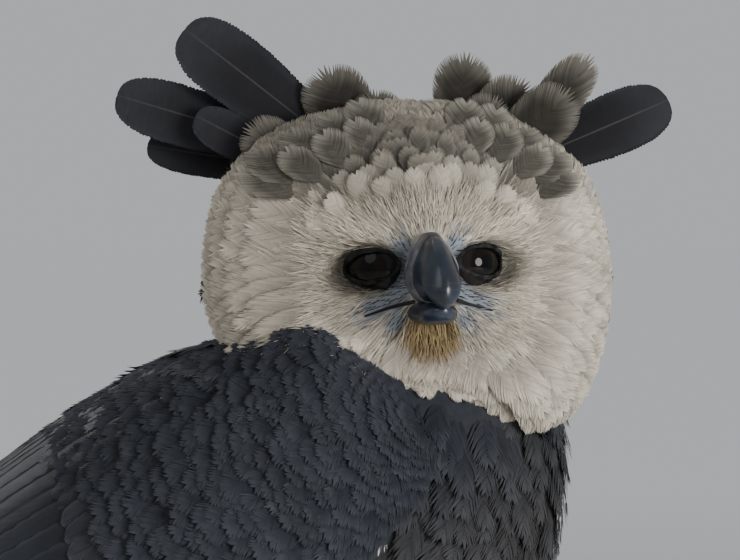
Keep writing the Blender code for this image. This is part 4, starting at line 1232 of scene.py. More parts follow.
class EaglePlumage(bpy.types.PropertyGroup):
    """Colours of the plumage and of the bare parts."""

    def tint(label, words, value):
        return FloatVectorProperty(
            name=label, description=words, default=value, size=3, min=0.0, max=1.0, subtype="COLOR"
        )

    face: tint("Face", "Short feathers of the cheeks, brow and chin", (0.42, 0.375, 0.305))
    crown: tint("Crown", "Middles of the crown's small feathers", (0.066, 0.061, 0.052))
    ruff: tint("Ruff", "Shaded rows round the edge of the face", (0.24, 0.21, 0.175))
    nape: tint("Nape", "Back of the head", (0.17, 0.155, 0.14))
    slate: tint("Slate", "Back, wings and tail", (0.0165, 0.0185, 0.0235))
    slate_edge: tint("Slate edge", "Worn edges of the dark feathers", (0.034, 0.037, 0.044))
    chest: tint("Chest", "Band across the breast", (0.026, 0.026, 0.027))
    white: tint("White", "Belly and thighs", (0.66, 0.64, 0.60))
    crest: tint("Crest", "Long dark feathers of the crest", (0.013, 0.013, 0.015))
    crest_brown: tint("Crest brown", "Rounded feathers of the crest near the crown", (0.026, 0.024, 0.020))
    leg: tint("Leg", "Bare skin of the shanks and toes", (0.60, 0.42, 0.10))
    lores: tint("Lores", "Bare skin between the bill and the eyes", (0.150, 0.163, 0.182))
    horn: tint("Horn", "Bill and claws", (0.009, 0.011, 0.015))
    rust: tint("Chin", "Rusty tuft under the bill", (0.185, 0.135, 0.068))


class EagleSizes(bpy.types.PropertyGroup):
    """Sizes of the feathers and of the skin's mesh."""

    def length(label, words, value):
        return FloatProperty(name=label, description=words, default=value, min=0.0005, unit="LENGTH")

    skin_voxel: length("Skin detail", "Voxel size of the fused skin", 0.0028)
    face_spacing: length("Face spacing", "Distance between the finest feathers of the face", 0.00062)
    cheek_spacing: length("Cheek spacing", "Distance between the cheeks' feathers", 0.0045)
    crown_spacing: length("Crown spacing", "Distance between the crown's feathers", 0.0051)
    breast_spacing: length("Breast spacing", "Distance between the breast's feathers", 0.0075)
    shoulder_spacing: length("Shoulder spacing", "Distance between the shoulder's small feathers", 0.0075)
    thigh_spacing: length("Thigh spacing", "Distance between the thighs' feathers", 0.0065)
    ruff_rows: IntProperty(
        name="Ruff rows", description="Rings of feathers round the face", default=4, min=1, max=9
    )


class EAGLE_OT_skin(bpy.types.Operator):
    """One skin under the whole plumage"""

    bl_idname = "eagle.skin"
    bl_label = "Skin"

    def execute(self, context):
        turn, along = np.meshgrid(circle(72), np.linspace(0.012, 0.988, 46))
        head = on_head(dome(turn, along, FACE_SINK))
        rows = smooth_rows(HEAD_STATIONS, 30)
        around = circle(48)
        tall = np.where(np.cos(around) > 0, rows[:, 2:3], rows[:, 3:4]) - CORE_SINK
        wide = rows[:, 1:2] - CORE_SINK
        core = joined(wide * np.sin(around), rows[:, 0:1] + 0 * around, tall * np.cos(around))
        forms = [body_rings(60, 60, BODY_SINK), head, on_head(core), tail_rings()]
        for side in (1, -1):
            forms.append(wing_rings(side, WING_SINK))
            forms.append(limb_rings(THIGH_STATIONS, 40, 40, side, BODY_SINK))
        made = mesh_object("skin", [lofted(rings) for rings in forms])
        fused(made, size_of("skin_voxel"), 6)
        points = points_of(made.data)
        places = head_sizes(points)
        for side in (1, -1):
            across, up, ahead = eye_sizes(places, side)
            dent = smooth_step(1.25, 0.85, np.hypot((across - 2.0) / 19.0, (up - 0.8) / 9.6))
            dent *= np.maximum(ahead - 7.5, 0.0)
            places -= (dent * (ahead > 0))[:, None] * eye_frame(side)[1][2]
        brow = np.exp(-((gap_to(BROW, np.abs(places[:, 0]), places[:, 2]) / 4.8) ** 2))
        places[:, 1] += 5.0 * brow * smooth_step(5.0, 15.0, places[:, 1])
        near_head = np.linalg.norm(places, axis=1) < 160
        points[near_head] = on_head(places[near_head])
        set_points(made.data, points)
        tone, edge = tones(points, part_of(points))
        store(made.data, "tone", "FLOAT_COLOR", 0.5 * tone + 0.5 * edge)
        nodes = ["head", "neck", "torso", "tail"]
        nodes += [name + side for name in ("wing", "thigh") for side in ("_left", "_right")]
        finish_piece(made, skin_paint(), "feathers_grey", *nodes)
        BIRD["hide"] = Hide(made)
        BIRD["part"] = part_of(BIRD["hide"].middles)
        return {"FINISHED"}


class EAGLE_OT_face(bpy.types.Operator):
    """Short plumage of the face, crown and nape"""

    bl_idname = "eagle.face"
    bl_label = "Face plumage"

    def execute(self, context):
        hide = BIRD["hide"]
        places, _, share, _, _ = regions(hide.middles)
        on_head_skin = BIRD["part"] == 0
        beside, up = np.abs(places[:, 0]), places[:, 2]
        bare = (np.hypot(beside / 10.5, (up + 4.0) / 17.5) < 1.0) & (places[:, 1] > 10)
        for line, reach in LORES:
            bare |= (gap_to(line, beside, up) < reach) & (places[:, 1] > 10)
        for side in (1, -1):
            across, high, out = eye_sizes(places, side)
            bare |= (np.hypot((across - 0.8) / 13.4, (high - 0.8) / 6.8) < 1.0) & (out > 0)
        front = on_head_skin & (places[:, 1] > -30) & ~bare & ~under_wing(places)
        level = up + 0.10 * beside
        crown = front & (level > 27.0)
        fine = down("face_plumage", 0.95, 0.2, 0.45, edge_from=0.25)
        soft = down("cheek_plumage", 0.95, 0.25, 0.3, edge_from=0.45)
        scaled = down("crown_plumage", 0.95, 0.3, 0.3, edge_from=0.6)
        hair = {"maker": grow, "rows": 3, "columns": 0.5, "teeth": 0.0, "sweep": 0.0, "cup": 0.0, "roll": 0.5,
                "outline": HAIR}

        def dress(paint, slot="feathers_grey"):
            return face_lie, head_unwrap(), paint, slot

        def strokes(roots, tone, edge, chance):
            pale = 0.86 + 0.28 * chance.random((len(roots), 1))
            return tone * pale, np.minimum(edge * pale, 0.85)

        inside = front & (share < 0.84) & ((up > -30.0) | (share < 0.78))
        by_eye = np.zeros(len(places), bool)
        for side in (1, -1):
            across, high, out = eye_sizes(places, side)
            by_eye |= (np.hypot((across - 5.0) / 20.0, high / 15.0) < 1.0) & (out > 0)
        # The longer feathers of the cheek end above the shoulder instead of poking through its coverts.
        cheek = inside & (share > 0.42) & ~crown & ~by_eye & ~under_wing(places, 7.0)
        coat("cheek_coat", cheek, 2, dress(soft), size_of("cheek_spacing"), 0.017, 0.0046, (-1.2, 2.0), 1.2,
             steps=2, barbs=28, rows=2, width=0.75, cup=0.08, fluff=0.00015, loose=0.03)
        short = front & ((share < 0.58) | by_eye) & (level < 34.0)
        spacing = size_of("face_spacing")
        coat("face_coat", short, 3, dress(fine), spacing, 0.0078, 0.00021, (-0.6, 1.6), 1.2, steps=2,
             tint=strokes, **hair)
        edging = inside & (share > 0.52) & (share < 0.78) & (level < 34.0) & ~under_wing(places, 6.0)
        coat("rim_coat", edging, 6, dress(fine), 1.3 * spacing, 0.0105, 0.00025, (0.6, 2.6), 1.4, steps=2,
             tint=strokes, **hair)
        bristly = on_head_skin & bare & (gap_to(GAPE, beside, up) > 1.5) & (beside > 9.0)
        coat("lore_bristles", bristly, 7, dress(fine, "feathers_dark"), 0.0016, 0.0042, 0.00016, (-0.3, 1.6),
             1.0, steps=2, tint=all_of((0.012, 0.012, 0.014)), **hair)
        tuft = on_head_skin & (beside < 11.0 + 0.45 * (up + 22.0)) & (up < -22.0) & (up > -36.0)
        tuft &= places[:, 1] > 0
        coat("chin_tuft", tuft, 8, dress(fine), 0.0007, 0.0100, 0.00026, (-0.5, 4.2), 3.0,
             tint=strokes, **hair)
        coat("crown_coat", crown & (share < 0.87), 4, dress(scaled), size_of("crown_spacing"), 0.0150, 0.0054,
             (-1.0, 3.4), 1.6, barbs=30, rows=2, width=0.8, fluff=0.0001, loose=0.02, cup=0.18)
        nape = on_head_skin & (places[:, 1] <= -24)
        coat("nape_coat", nape, 5, dress(scaled), 0.0080, 0.026, 0.0078, (-1.5, 4.5), 2.5, barbs=16, rows=3)
        return {"FINISHED"}


class EAGLE_OT_ruff(bpy.types.Operator):
    """Rings of longer feathers round the face, and the crest"""

    bl_idname = "eagle.ruff"
    bl_label = "Ruff and crest"

    def execute(self, context):
        chance = np.random.default_rng(21)
        # Each ruff feather's root half is dark and its tip pale, so a line of painted shade shows between the
        # rows.
        paint = down("ruff_plumage", 0.95, 0.3, 0.4, edge_from=0.5)
        paths, normals, tone, edge, widths = [], [], [], [], []
        rows = size_of("ruff_rows")
        for row in range(rows):
            count = 96 - 9 * row
            turn = 2 * np.pi * (np.arange(count) + 0.5 * (row % 2)) / count
            turn += 0.02 * chance.standard_normal(count)
            tip = 0.60 - 0.052 * row + 0.006 * chance.standard_normal(count)
            start = tip - 0.20
            steps = np.linspace(0.0, 1.0, 5)[None, :]
            along = start[:, None] + (tip - start)[:, None] * steps
            line = dome(turn[:, None] + 0 * steps, along, 0.0)
            deep = dome(turn[:, None] + 0 * steps, along, 7.0)
            share = np.array((1.0, 0.55, 0.2, 0.0, -0.1))[None, :, None]
            paths.append(on_head(between(line, deep, share)))
            normals.append(unit(on_head(line) - on_head(deep)))
            # The root tone is partly the ruff's own darker grey and partly painted shade between the rows.
            # The two outer rows are darker still.
            shaded_base_tone = colour_of("ruff") * (0.70 + 0.3 * (row > 1))
            high = smooth_step(0.3, 0.75, np.cos(turn))[:, None]
            tone.append(between(shaded_base_tone, colour_of("crown") * 0.8, high))
            edge.append(colour_of("face") * (1.06 - 0.42 * high))
            widths.append((0.0078 - 0.0005 * row) * (0.85 + 0.3 * chance.random(count)))
        every = [np.concatenate(part) for part in (paths, normals, widths, tone, edge)]
        clear = ~under_wing(head_sizes(every[0][:, -1]), 2.0)
        paths, normals, widths, tone, edge = (part[clear] for part in every)
        uv = round_unwrap(paths[:, 2], *head_unwrap())
        made = barbed("ruff", paths, normals, widths, tone, edge, uv,
                      chance, barbs=38, rows=2, fluff=0.0002, width=0.75, cup=0.1, loose=0.03)
        finish_piece(made, paint, "feathers_grey", "head")
        self.crest(chance)
        return {"FINISHED"}

    def crest(self, chance):
        paint = plumage("crest_plumage", 0.75, 0.75, 0.3, 0.8, mottle=0.25, shaft_tone=(0.045, 0.042, 0.042))
        paths, normals, tone, edge, widths = [], [], [], [], []
        over = unit(HEAD_AXES @ np.array((0.0, 1.0, 0.2)))
        cosine, sine = math.cos(HEAD_ROLL), math.sin(HEAD_ROLL)
        turned = np.array(((cosine, sine), (-sine, cosine)))
        for number, (root, tip, half) in enumerate(CREST):
            steps = np.linspace(0.0, 1.0, 6)[:, None]
            line = between(np.array(root), np.array(tip), steps)
            flat = line[:, :2] @ turned.T
            ahead = line[:, 2] + 4.0 * np.sin(np.pi * steps[:, 0])
            paths.append(on_head(np.column_stack((flat[:, 0], ahead, flat[:, 1]))))
            normals.append(np.tile(over, (6, 1)))
            dark = number in CREST_SLATE
            tone.append(colour_of("crest") if dark else colour_of("crest_brown"))
            edge.append(colour_of("crest") * 2.2 if dark else colour_of("crest_brown") * 4.4)
            widths.append(half * MM)
        paths = np.stack(paths)
        uv = round_unwrap(paths[:, 1], *head_unwrap())
        every = paths, np.stack(normals), np.array(widths), np.array(tone), np.array(edge), uv
        soft = np.array([number not in CREST_SLATE for number in range(len(CREST))])
        made = barbed("crest_brown", *(part[soft] for part in every), chance, outline=CREST_VANE, barbs=76,
                      rows=4, sweep=1.2, cup=0.2, fluff=0.0001, loose=0.01, width=1.3)
        finish_piece(made, down("crest_down", 0.9, 0.3, 0.4, edge_from=0.75), "feathers_dark")
        made = grow("crest", *(part[~soft] for part in every), chance, outline=CREST_VANE, rows=110,
                    columns=6, teeth=0.045, sweep=0.35, cup=0.16, roll=0.05, ruffle=0.00012, thick=0.0006)
        finish_piece(made, paint, "feathers_dark")
        self.fans(chance)

    def fans(self, chance):
        """Short rounded feathers between the crown and the crest, in overlapping pairs."""
        tips = np.repeat(np.array(CREST_FANS), 2, axis=0)
        tips[1::2] += (4.0, -9.0, -1.5)
        tips[1::2, 0] -= 8.0 * (tips[1::2, 0] < 0)
        turn = np.arctan2(tips[:, 0], tips[:, 1]) + HEAD_ROLL
        reach = np.hypot(tips[:, 0], tips[:, 1])
        steps = np.linspace(0.0, 1.0, 5)
        share = reach / outline_reach(turn)
        share = share[:, None] * (0.70 + 0.30 * steps)
        ahead = read_column(DOME[:9], share)
        ahead = ahead + np.array((-3.0, 1.0, 3.5, 5.5, 7.0))
        across = share * (outline_reach(turn) * np.sin(turn))[:, None]
        up = share * (outline_reach(turn) * np.cos(turn))[:, None]
        paths = on_head(joined(across, ahead, up))
        over = unit(HEAD_AXES @ np.array((0.0, 1.0, 0.35)))
        tone = np.tile((0.062, 0.057, 0.047), (len(tips), 1))
        uv = round_unwrap(paths[:, 1], *head_unwrap())
        normals = np.tile(over, paths.shape[:2] + (1,))
        made = barbed("crest_fans", paths, normals, tips[:, 2] * MM, tone, tone * 3.5, uv, chance, barbs=44,
                      rows=3, fluff=0.0001, loose=0.012, width=0.9)
        finish_piece(made, down("fan_plumage", 0.9, 0.3, 0.55, edge_from=0.66), "feathers_grey")


class EAGLE_OT_body(bpy.types.Operator):
    """Plumage of the neck, breast, belly, back, shoulders and thighs"""

    bl_idname = "eagle.body"
    bl_label = "Body plumage"

    def execute(self, context):
        hide = BIRD["hide"]
        part = BIRD["part"]
        soft = down("body_plumage", 0.85, 0.35, 0.35, edge_from=0.6)
        own = hide.middles - SHIFT
        middle = read_column(BODY_STATIONS, own[:, 0], 2)
        upper = (own[:, 2] > middle) & (own[:, 0] < 0.13)
        spacing = size_of("breast_spacing")
        form = {"barbs": 16, "rows": 2}

        def dress(slot):
            return body_lie, body_unwrap(), soft, slot

        def flecked(roots, tone, edge, chance):
            on_chest = (tone[:, 0] < 0.1) & (roots[:, 0] - SHIFT[0] > 0.13)
            picked = (chance.random(len(roots)) < 0.05) & on_chest
            edge[picked] = colour_of("white") * 0.7
            return tone, edge

        torso = part == 1
        coat("breast_coat", torso & ~upper, 31, dress("feathers_chest"), spacing, 0.030, 0.0078, (-1.5, 4.2),
             2.5, tint=flecked, **form)
        places, _, share, _, _ = regions(hide.middles)
        throat = (part == 0) & (places[:, 2] < -34.0) & (share > 0.76)
        coat("throat_coat", throat, 35, dress("feathers_chest"), spacing, 0.026, 0.0070, (-2.0, 0.4), 0.6,
             tint=all_of(colour_of("chest")), **form)
        coat("back_coat", torso & upper, 34, dress("feathers_dark"), spacing, 0.034, 0.0088, (-1.5, 3.2), 1.4,
             **form)
        form = {"height": (-1.2, 3.4), "wobble": 1.5, "barbs": 12, "rows": 2}
        shoulder = (part == 2) & (own[:, 0] > 0.06)
        spacing = size_of("shoulder_spacing")
        coat("shoulder_coat", shoulder, 32, dress("feathers_dark"), spacing, 0.022, 0.0060, **form)
        thigh_unwrap = (SHIFT + (0.02, 0.0, 0.25), (0.0, 0.0, 1.0), (1.0, 0.0, 0.0))
        coat("thigh_coat", part == 3, 33, (thigh_lie, thigh_unwrap, soft, "feathers_pale"),
             size_of("thigh_spacing"), 0.024, 0.0066, bars=0.75, **form)
        return {"FINISHED"}


# Tiers of a wing, lowest layer first: name, feathers, then the first and the last feather's shares of the
# wing at the root, at the tip and across it, the half width in mm, and how far the tips stand off in mm.
WING_TIERS = (
    ("primaries", 9, 0.60, 0.62, 1.02, 0.84, 0.95, 0.50, 11.0, 1.2),
    ("secondaries", 13, 0.40, 0.38, 0.86, 0.70, 0.97, 0.14, 13.0, 2.0),
    ("greater_coverts", 15, 0.27, 0.25, 0.56, 0.49, 0.98, 0.10, 12.0, 2.6),
    ("scapulars", 4, 0.22, 0.20, 0.66, 0.60, 0.20, 0.0, 12.0, 3.4),
    ("median_coverts", 20, 0.30, 0.28, 0.47, 0.42, 0.98, 0.04, 9.0, 3.0),
)
# Small coverts, from the wrist back over the wing: rows, feathers in each, share of the wing between rows.
COVERT_ROWS = 19
COVERTS = 25
COVERT_STEP = 0.0215


class EAGLE_OT_wings(bpy.types.Operator):
    """Flight feathers and coverts of both folded wings"""

    bl_idname = "eagle.wings"
    bl_label = "Wings"

    def execute(self, context):
        paint = plumage("wing_plumage", 0.6, 0.9, 0.3, shaft=0.6, mottle=0.3)
        soft = down("covert_plumage", 0.9, 0.5, 0.22, edge_from=0.62)
        for side, word in ((1, "right"), (-1, "left")):
            chance = np.random.default_rng(41)
            for number, (name, count, ra, rb, ta, tb, pa, pb, half, stand) in enumerate(WING_TIERS):
                t = np.linspace(0.0, 1.0, count)
                root = ra + (rb - ra) * t + 0.004 * chance.standard_normal(count)
                tip = ta + (tb - ta) * t + 0.007 * chance.standard_normal(count)
                place = pa + (pb - pa) * t
                steps = np.linspace(0.0, 1.0, 8)
                share = root[:, None] + (tip - root)[:, None] * steps
                reach = np.interp(steps, (0.0, 0.25, 1.0), (-3.5, 0.4 * stand, stand)) * MM
                here, normal = over_wing(side, share, place[:, None] + 0 * share, reach)
                uv = round_unwrap(here[:, 0], *body_unwrap())
                tone = np.tile(colour_of("slate"), (count, 1))
                edge = np.tile(colour_of("slate_edge"), (count, 1))
                half = np.full(count, half * MM)
                rows = 48 if number < 2 else 30
                made = grow(name + "_" + word, here, normal, half, tone, edge, uv, chance, rows=rows,
                            outline=FLIGHT_VANE, columns=4, teeth=0.08, sweep=0.35, cup=0.12, roll=0.03,
                            ruffle=0.00012, thick=0.0005)
                finish_piece(made, paint, "feathers_dark")
            self.small_coverts(side, word, soft)
        return {"FINISHED"}

    def small_coverts(self, side, word, paint):
        chance = np.random.default_rng(43)
        row, place = np.meshgrid(np.arange(COVERT_ROWS), np.arange(COVERTS), indexing="ij")
        place = (place + 0.5 * (row % 2)).ravel() / COVERTS + 0.008 * chance.standard_normal(row.size)
        tip = 0.035 + COVERT_STEP * row.ravel() + 0.006 * chance.standard_normal(row.size)
        steps = np.linspace(0.0, 1.0, 5)
        share = tip[:, None] - 0.052 * (1 - steps)
        stand = 1.2 + 0.9 * chance.random((row.size, 1)) + 2.4 * smooth_step(0.26, 0.36, tip)[:, None]
        reach = (-2.5 + (stand + 2.5) * steps**0.7) * MM
        across = np.clip(place, 0.0, 1.03)[:, None] + 0.012 * chance.standard_normal((row.size, 1)) * steps
        here, normal = over_wing(side, share, across, reach)
        tone = np.tile(colour_of("slate"), (row.size, 1)) * (0.9 + 0.3 * chance.random((row.size, 1)))
        edge = np.tile(colour_of("slate_edge"), (row.size, 1))
        half = (0.0066 + 0.0012 * chance.random(row.size)) * (0.9 + 0.3 * row.ravel() / COVERT_ROWS)
        uv = round_unwrap(here[:, 0], *body_unwrap())
        made = barbed("small_coverts_" + word, here, normal, half, tone, edge, uv, chance, barbs=22, rows=2,
                      loose=0.03, fluff=0.0002, width=0.8, cup=0.1)
        finish_piece(made, paint, "feathers_dark")


class EAGLE_OT_tail(bpy.types.Operator):
    """Twelve tail feathers with grey bars"""

    bl_idname = "eagle.tail"
    bl_label = "Tail"

    def execute(self, context):
        chance = np.random.default_rng(51)
        paint = self.paint()
        paths, widths, uneven = [], [], []
        steps = np.linspace(0.04, 1.0, 8)
        for side in (1, -1):
            for k in range(6):
                fan = math.radians(1.0 + 1.55 * k) * side
                length = TAIL_LENGTH * (1.0 - 0.012 * k * k / 4)
                level = 4.0 * MM - TAIL_STEP * (k + 1 if k else (0 if side > 0 else 1))
                along = length * steps
                across = side * (0.004 + 0.003 * k) + math.tan(fan) * along
                paths.append(tail_points(along, across, level - 0.0015 * np.sin(np.pi * steps) * (1 - steps)))
                widths.append(25.0 * MM)
                inner = min(1.0, abs(across[5]) / (25.0 * MM)) if k else 1.0
                uneven.append((inner, 1.0) if side < 0 else (1.0, inner))
        paths = np.stack(paths)
        rise = tail_points(0.0, 0.0, 1.0) - tail_points(0.0, 0.0, 0.0)
        normals = np.tile(rise, (12, 8, 1))
        tone = np.tile(colour_of("slate"), (12, 1))
        uv = round_unwrap(paths[:, 0], *body_unwrap())
        made = grow("tail_feathers", paths, normals, np.array(widths), tone, tone * 2.0, uv, chance,
                    outline=FLIGHT_VANE, rows=90, columns=5, teeth=0.06, sweep=0.3, cup=0.05, roll=0.0,
                    ruffle=0.0001, thick=0.0005, uneven=np.array(uneven))
        finish_piece(made, paint, "feathers_dark", "tail")
        return {"FINISHED"}

    def paint(self):
        recipe = Recipe("tail_plumage", roughness=0.62, specular_ior_level=0.25)
        across, along, chance = recipe.parts(recipe.named("vane"))
        half, length, _ = recipe.parts(recipe.named("span"))
        out = across.size()
        place = along + 0.012 * (recipe.noise(60.0, 3.0) - 0.5) + 0.008 * out
        wave = (place * (2 * math.pi * 3.55) - 1.3).wave()
        bar = recipe.ramp(wave, 0.30, 0.55)
        tip = recipe.ramp(along, 0.975, 0.995)
        tone = recipe.mix(bar, colour_of("slate") * 0.7, (0.17, 0.165, 0.16))
        tone = recipe.mix(tip, tone, (0.35, 0.34, 0.32))
        barbs = barb_lines(along, length, out, half, chance, 0.9)
        tone = recipe.scaled(tone, 1 - 0.3 * barbs)
        tone = recipe.mix(recipe.ramp(out * half, 0.8, 0.35) * 0.7, tone, (0.012, 0.012, 0.013))
        recipe.feed(base_color=tone)
        recipe.bump(barbs, 0.35, 0.0004)
        return recipe.material


class EAGLE_OT_bill(bpy.types.Operator):
    """Upper and lower bill, and the cere with its nostrils"""

    bl_idname = "eagle.bill"
    bl_label = "Bill"

    def execute(self, context):
        horn = Recipe("bill_horn", roughness=0.3, coat_weight=0.1, specular_ior_level=0.35)
        streak = horn.node("ShaderNodeMapping", None, {"Vector": horn.place(), "Scale": (40.0, 40.0, 400.0)})
        grain = horn.noise(1.0, 4.0, streak)
        cloud = horn.noise(70.0, 4.0)
        tone = horn.mix(horn.ramp(cloud, 0.35, 0.7), colour_of("horn"), colour_of("horn") * (1.9, 2.3, 2.8))
        horn.feed(base_color=horn.mix(horn.ramp(grain, 0.55, 0.8) * 0.35, tone, (0.10, 0.105, 0.115)))
        horn.bump(grain + 0.4 * cloud, 0.12, 0.0005)
        rings = bill_rings(BILL_STATIONS, 40, 48, CULMEN, BILL_FOOT)
        rows = smooth_rows(BILL_STATIONS, 40)
        around = circle(48)
        sides = np.interp(rows[:, 4], (20.0, 70.0), (1.0, 0.0))[:, None]
        rings[..., 0] *= 1 + sides * (bell(rings[..., 2], around) - 1)
        rings[..., 0] *= read_column(BILL_WIDTHS, rows[:, 4])[:, None]
        below = np.minimum(rings[..., 2] + 8.0, 0.0)
        rings[..., 2] -= (1 - BILL_SHORTER) * below * smooth_step(50.0, 62.0, rings[..., 1])
        upper = mesh_object("upper_horn", [lofted(on_head(rings))])
        finish_piece(upper, horn.material, "horn", "upper_bill")
        rings = bill_rings(LOWER_BILL_STATIONS, 28, 40, 0.0, 0.0)
        around = circle(40)
        rings[..., 0] *= np.maximum(np.abs(np.sin(around)), 0.05) ** -0.35 * 0.93
        lower = mesh_object("lower_horn", [lofted(on_head(rings))])
        finish_piece(lower, horn.material, "horn", "lower_bill")
        self.mouth_line()
        wax = Recipe("cere_skin", roughness=0.55, specular_ior_level=0.4)
        cell = wax.node("ShaderNodeTexVoronoi", None, {"Vector": wax.place(), "Scale": 900.0})
        cloud = wax.noise(120.0, 5.0)
        wax.feed(base_color=wax.mix(wax.ramp(cloud, 0.3, 0.75), (0.045, 0.048, 0.057), (0.17, 0.175, 0.185)))
        wax.bump(cell + cloud, 0.4, 0.0006)
        rings = bill_rings(CERE_STATIONS, 24, 48, CULMEN, CERE_FOOT)
        rings[..., 0] *= bell(rings[..., 2], circle(48))
        for side in (1, -1):
            away = rings - np.array((side * 11.0, 40.5, 3.5))
            slot = np.hypot(away[..., 1] / 1.7 - 0.3 * away[..., 2], away[..., 2] / 3.6)
            rings[..., 0] -= side * 2.6 * smooth_step(1.3, 0.4, slot) * (np.abs(away[..., 0]) < 8)
        cere = mesh_object("cere_wax", [lofted(on_head(rings))])
        finish_piece(cere, wax.material, "cere", "cere")
        return {"FINISHED"}

    def mouth_line(self):
        """The dark line of the mouth, from the bill's corners back over the bare skin: a near-black tube,
        partly the gape's dark skin and partly painted shade of the slit between the mandibles.
        """
        forms = []
        t = np.linspace(0.0, 1.0, 30)
        around = circle(12)
        way = -HEAD_AXES[:, 1]
        for side in (1, -1):
            line = []
            for share in t:
                beside = side * (GAPE[0][0] + (GAPE[1][0] - GAPE[0][0]) * share)
                up = GAPE[0][1] + (GAPE[1][1] - GAPE[0][1]) * share
                start = on_head((beside, 120.0, up))
                found = BIRD["hide"].tree.ray_cast(Vector(start), Vector(way))[0]
                ahead = head_sizes(np.array(found))[1]
                line.append((beside, max(ahead + 0.2, 47.0 - 42.0 * share), up))
            line = on_head(np.array(line))
            along = unit(np.gradient(line, axis=0))
            out = unit(-way - along * (along @ -way)[:, None])
            up = np.cross(out, along)
            thick = 0.95 * MM * (1 - 0.55 * t)[:, None, None]
            ring = up[:, None] * np.cos(around)[:, None] + out[:, None] * np.sin(around)[:, None]
            forms.append(lofted(line[:, None] + thick * ring))
        dark = Recipe("mouth_dark", roughness=0.6, specular_ior_level=0.2)
        dark.feed(base_color=dark.mix(dark.noise(300.0, 3.0), (0.004, 0.004, 0.005), (0.014, 0.014, 0.016)))
        finish_piece(mesh_object("mouth_line", forms), dark.material, "horn")


class EAGLE_OT_eyes(bpy.types.Operator):
    """Eyeballs, lids and the folds round them"""

    bl_idname = "eagle.eyes"
    bl_label = "Eyes"

    def execute(self, context):
        ball = self.ball_paint()
        lid = Recipe("lid_skin", roughness=0.6, specular_ior_level=0.1)
        cloud = lid.noise(300.0, 4.0)
        lid.feed(base_color=lid.mix(lid.ramp(cloud, 0.35, 0.7), (0.004, 0.004, 0.004), (0.022, 0.021, 0.021)))
        lid.bump(cloud, 0.5, 0.0005)
        for side, word in ((1, "left"), (-1, "right")):
            centre, axes = eye_frame(side)
            tilt = np.linspace(0.0, np.pi, 40)[:, None]
            turn = circle(64)
            flat = np.sin(tilt)
            globe = joined(flat * np.cos(turn), flat * np.sin(turn), np.cos(tilt) + 0 * turn)
            rings = centre + EYE_RADIUS * globe @ axes
            made = mesh_object("eyeball_" + word, [lofted(on_head(rings[1:-1]))])
            own = head_sizes(points_of(made.data)) - centre
            away = np.arccos(np.clip(unit(own) @ axes[2], -1, 1))
            store(made.data, "from_pupil", "FLOAT_VECTOR", np.column_stack((away, away, away)))
            finish_piece(made, ball, "eyeball", "eye_" + word)
            made = mesh_object("lids_" + word, [self.lid_mesh(centre, axes)])
            finish_piece(made, lid.material, "cere")
        return {"FINISHED"}

    def lid_mesh(self, centre, axes):
        """A closed ring from the almond opening out over the eyeball and into the face."""
        turn = circle(96)
        top = np.sin(turn) > 0
        power = np.where(np.cos(turn) > 0, 1.5, 2.6)
        half, above, below = LID_OPENING
        wide, high = np.abs(np.cos(turn)) / half, np.abs(np.sin(turn)) / np.where(top, above, below)
        inner = (wide**power + high**power) ** (-1 / power)
        outer = 1 / np.sqrt((np.cos(turn) / LID_REACH[0]) ** 2 + (np.sin(turn) / LID_REACH[1]) ** 2)
        rings = []
        for step, lift in LID_ROWS:
            reach = inner + (outer - inner) * step
            lift = lift + 0.2 * np.sin(11 * turn + 5 * step) * (0.05 < step)
            radius = EYE_RADIUS + 0.35 + lift
            depth = np.sqrt(np.maximum(radius**2 - np.minimum(reach, 13.6) ** 2, 4.0))
            depth = np.maximum(depth, 7.0 + lift)
            sideways, upward = reach * np.cos(turn) + LID_SHIFT, reach * np.sin(turn) + LID_SHIFT
            rings.append(centre + joined(sideways, upward, depth) @ axes)
        rings = on_head(np.array(rings))
        count, sides = rings.shape[:2]
        i, j = np.meshgrid(np.arange(count), np.arange(sides), indexing="ij")
        k, n = (j + 1) % sides, (i + 1) % count
        faces = joined(i * sides + j, i * sides + k, n * sides + k, n * sides + j).reshape(-1, 4)
        return rings.reshape(-1, 3), faces.tolist()

    def ball_paint(self):
        recipe = Recipe("eye_glass", roughness=0.05, specular_ior_level=0.12)
        away = recipe.parts(recipe.named("from_pupil"))[0]
        ray = recipe.noise(500.0, 3.0)
        iris = recipe.mix(ray, (0.003, 0.0022, 0.0018), (0.008, 0.0055, 0.004))
        tone = recipe.mix(recipe.ramp(away, 0.24, 0.30), (0.002, 0.002, 0.002), iris)
        recipe.feed(base_color=recipe.mix(recipe.ramp(away, 0.56, 0.66), tone, (0.012, 0.010, 0.010)))
        return recipe.material


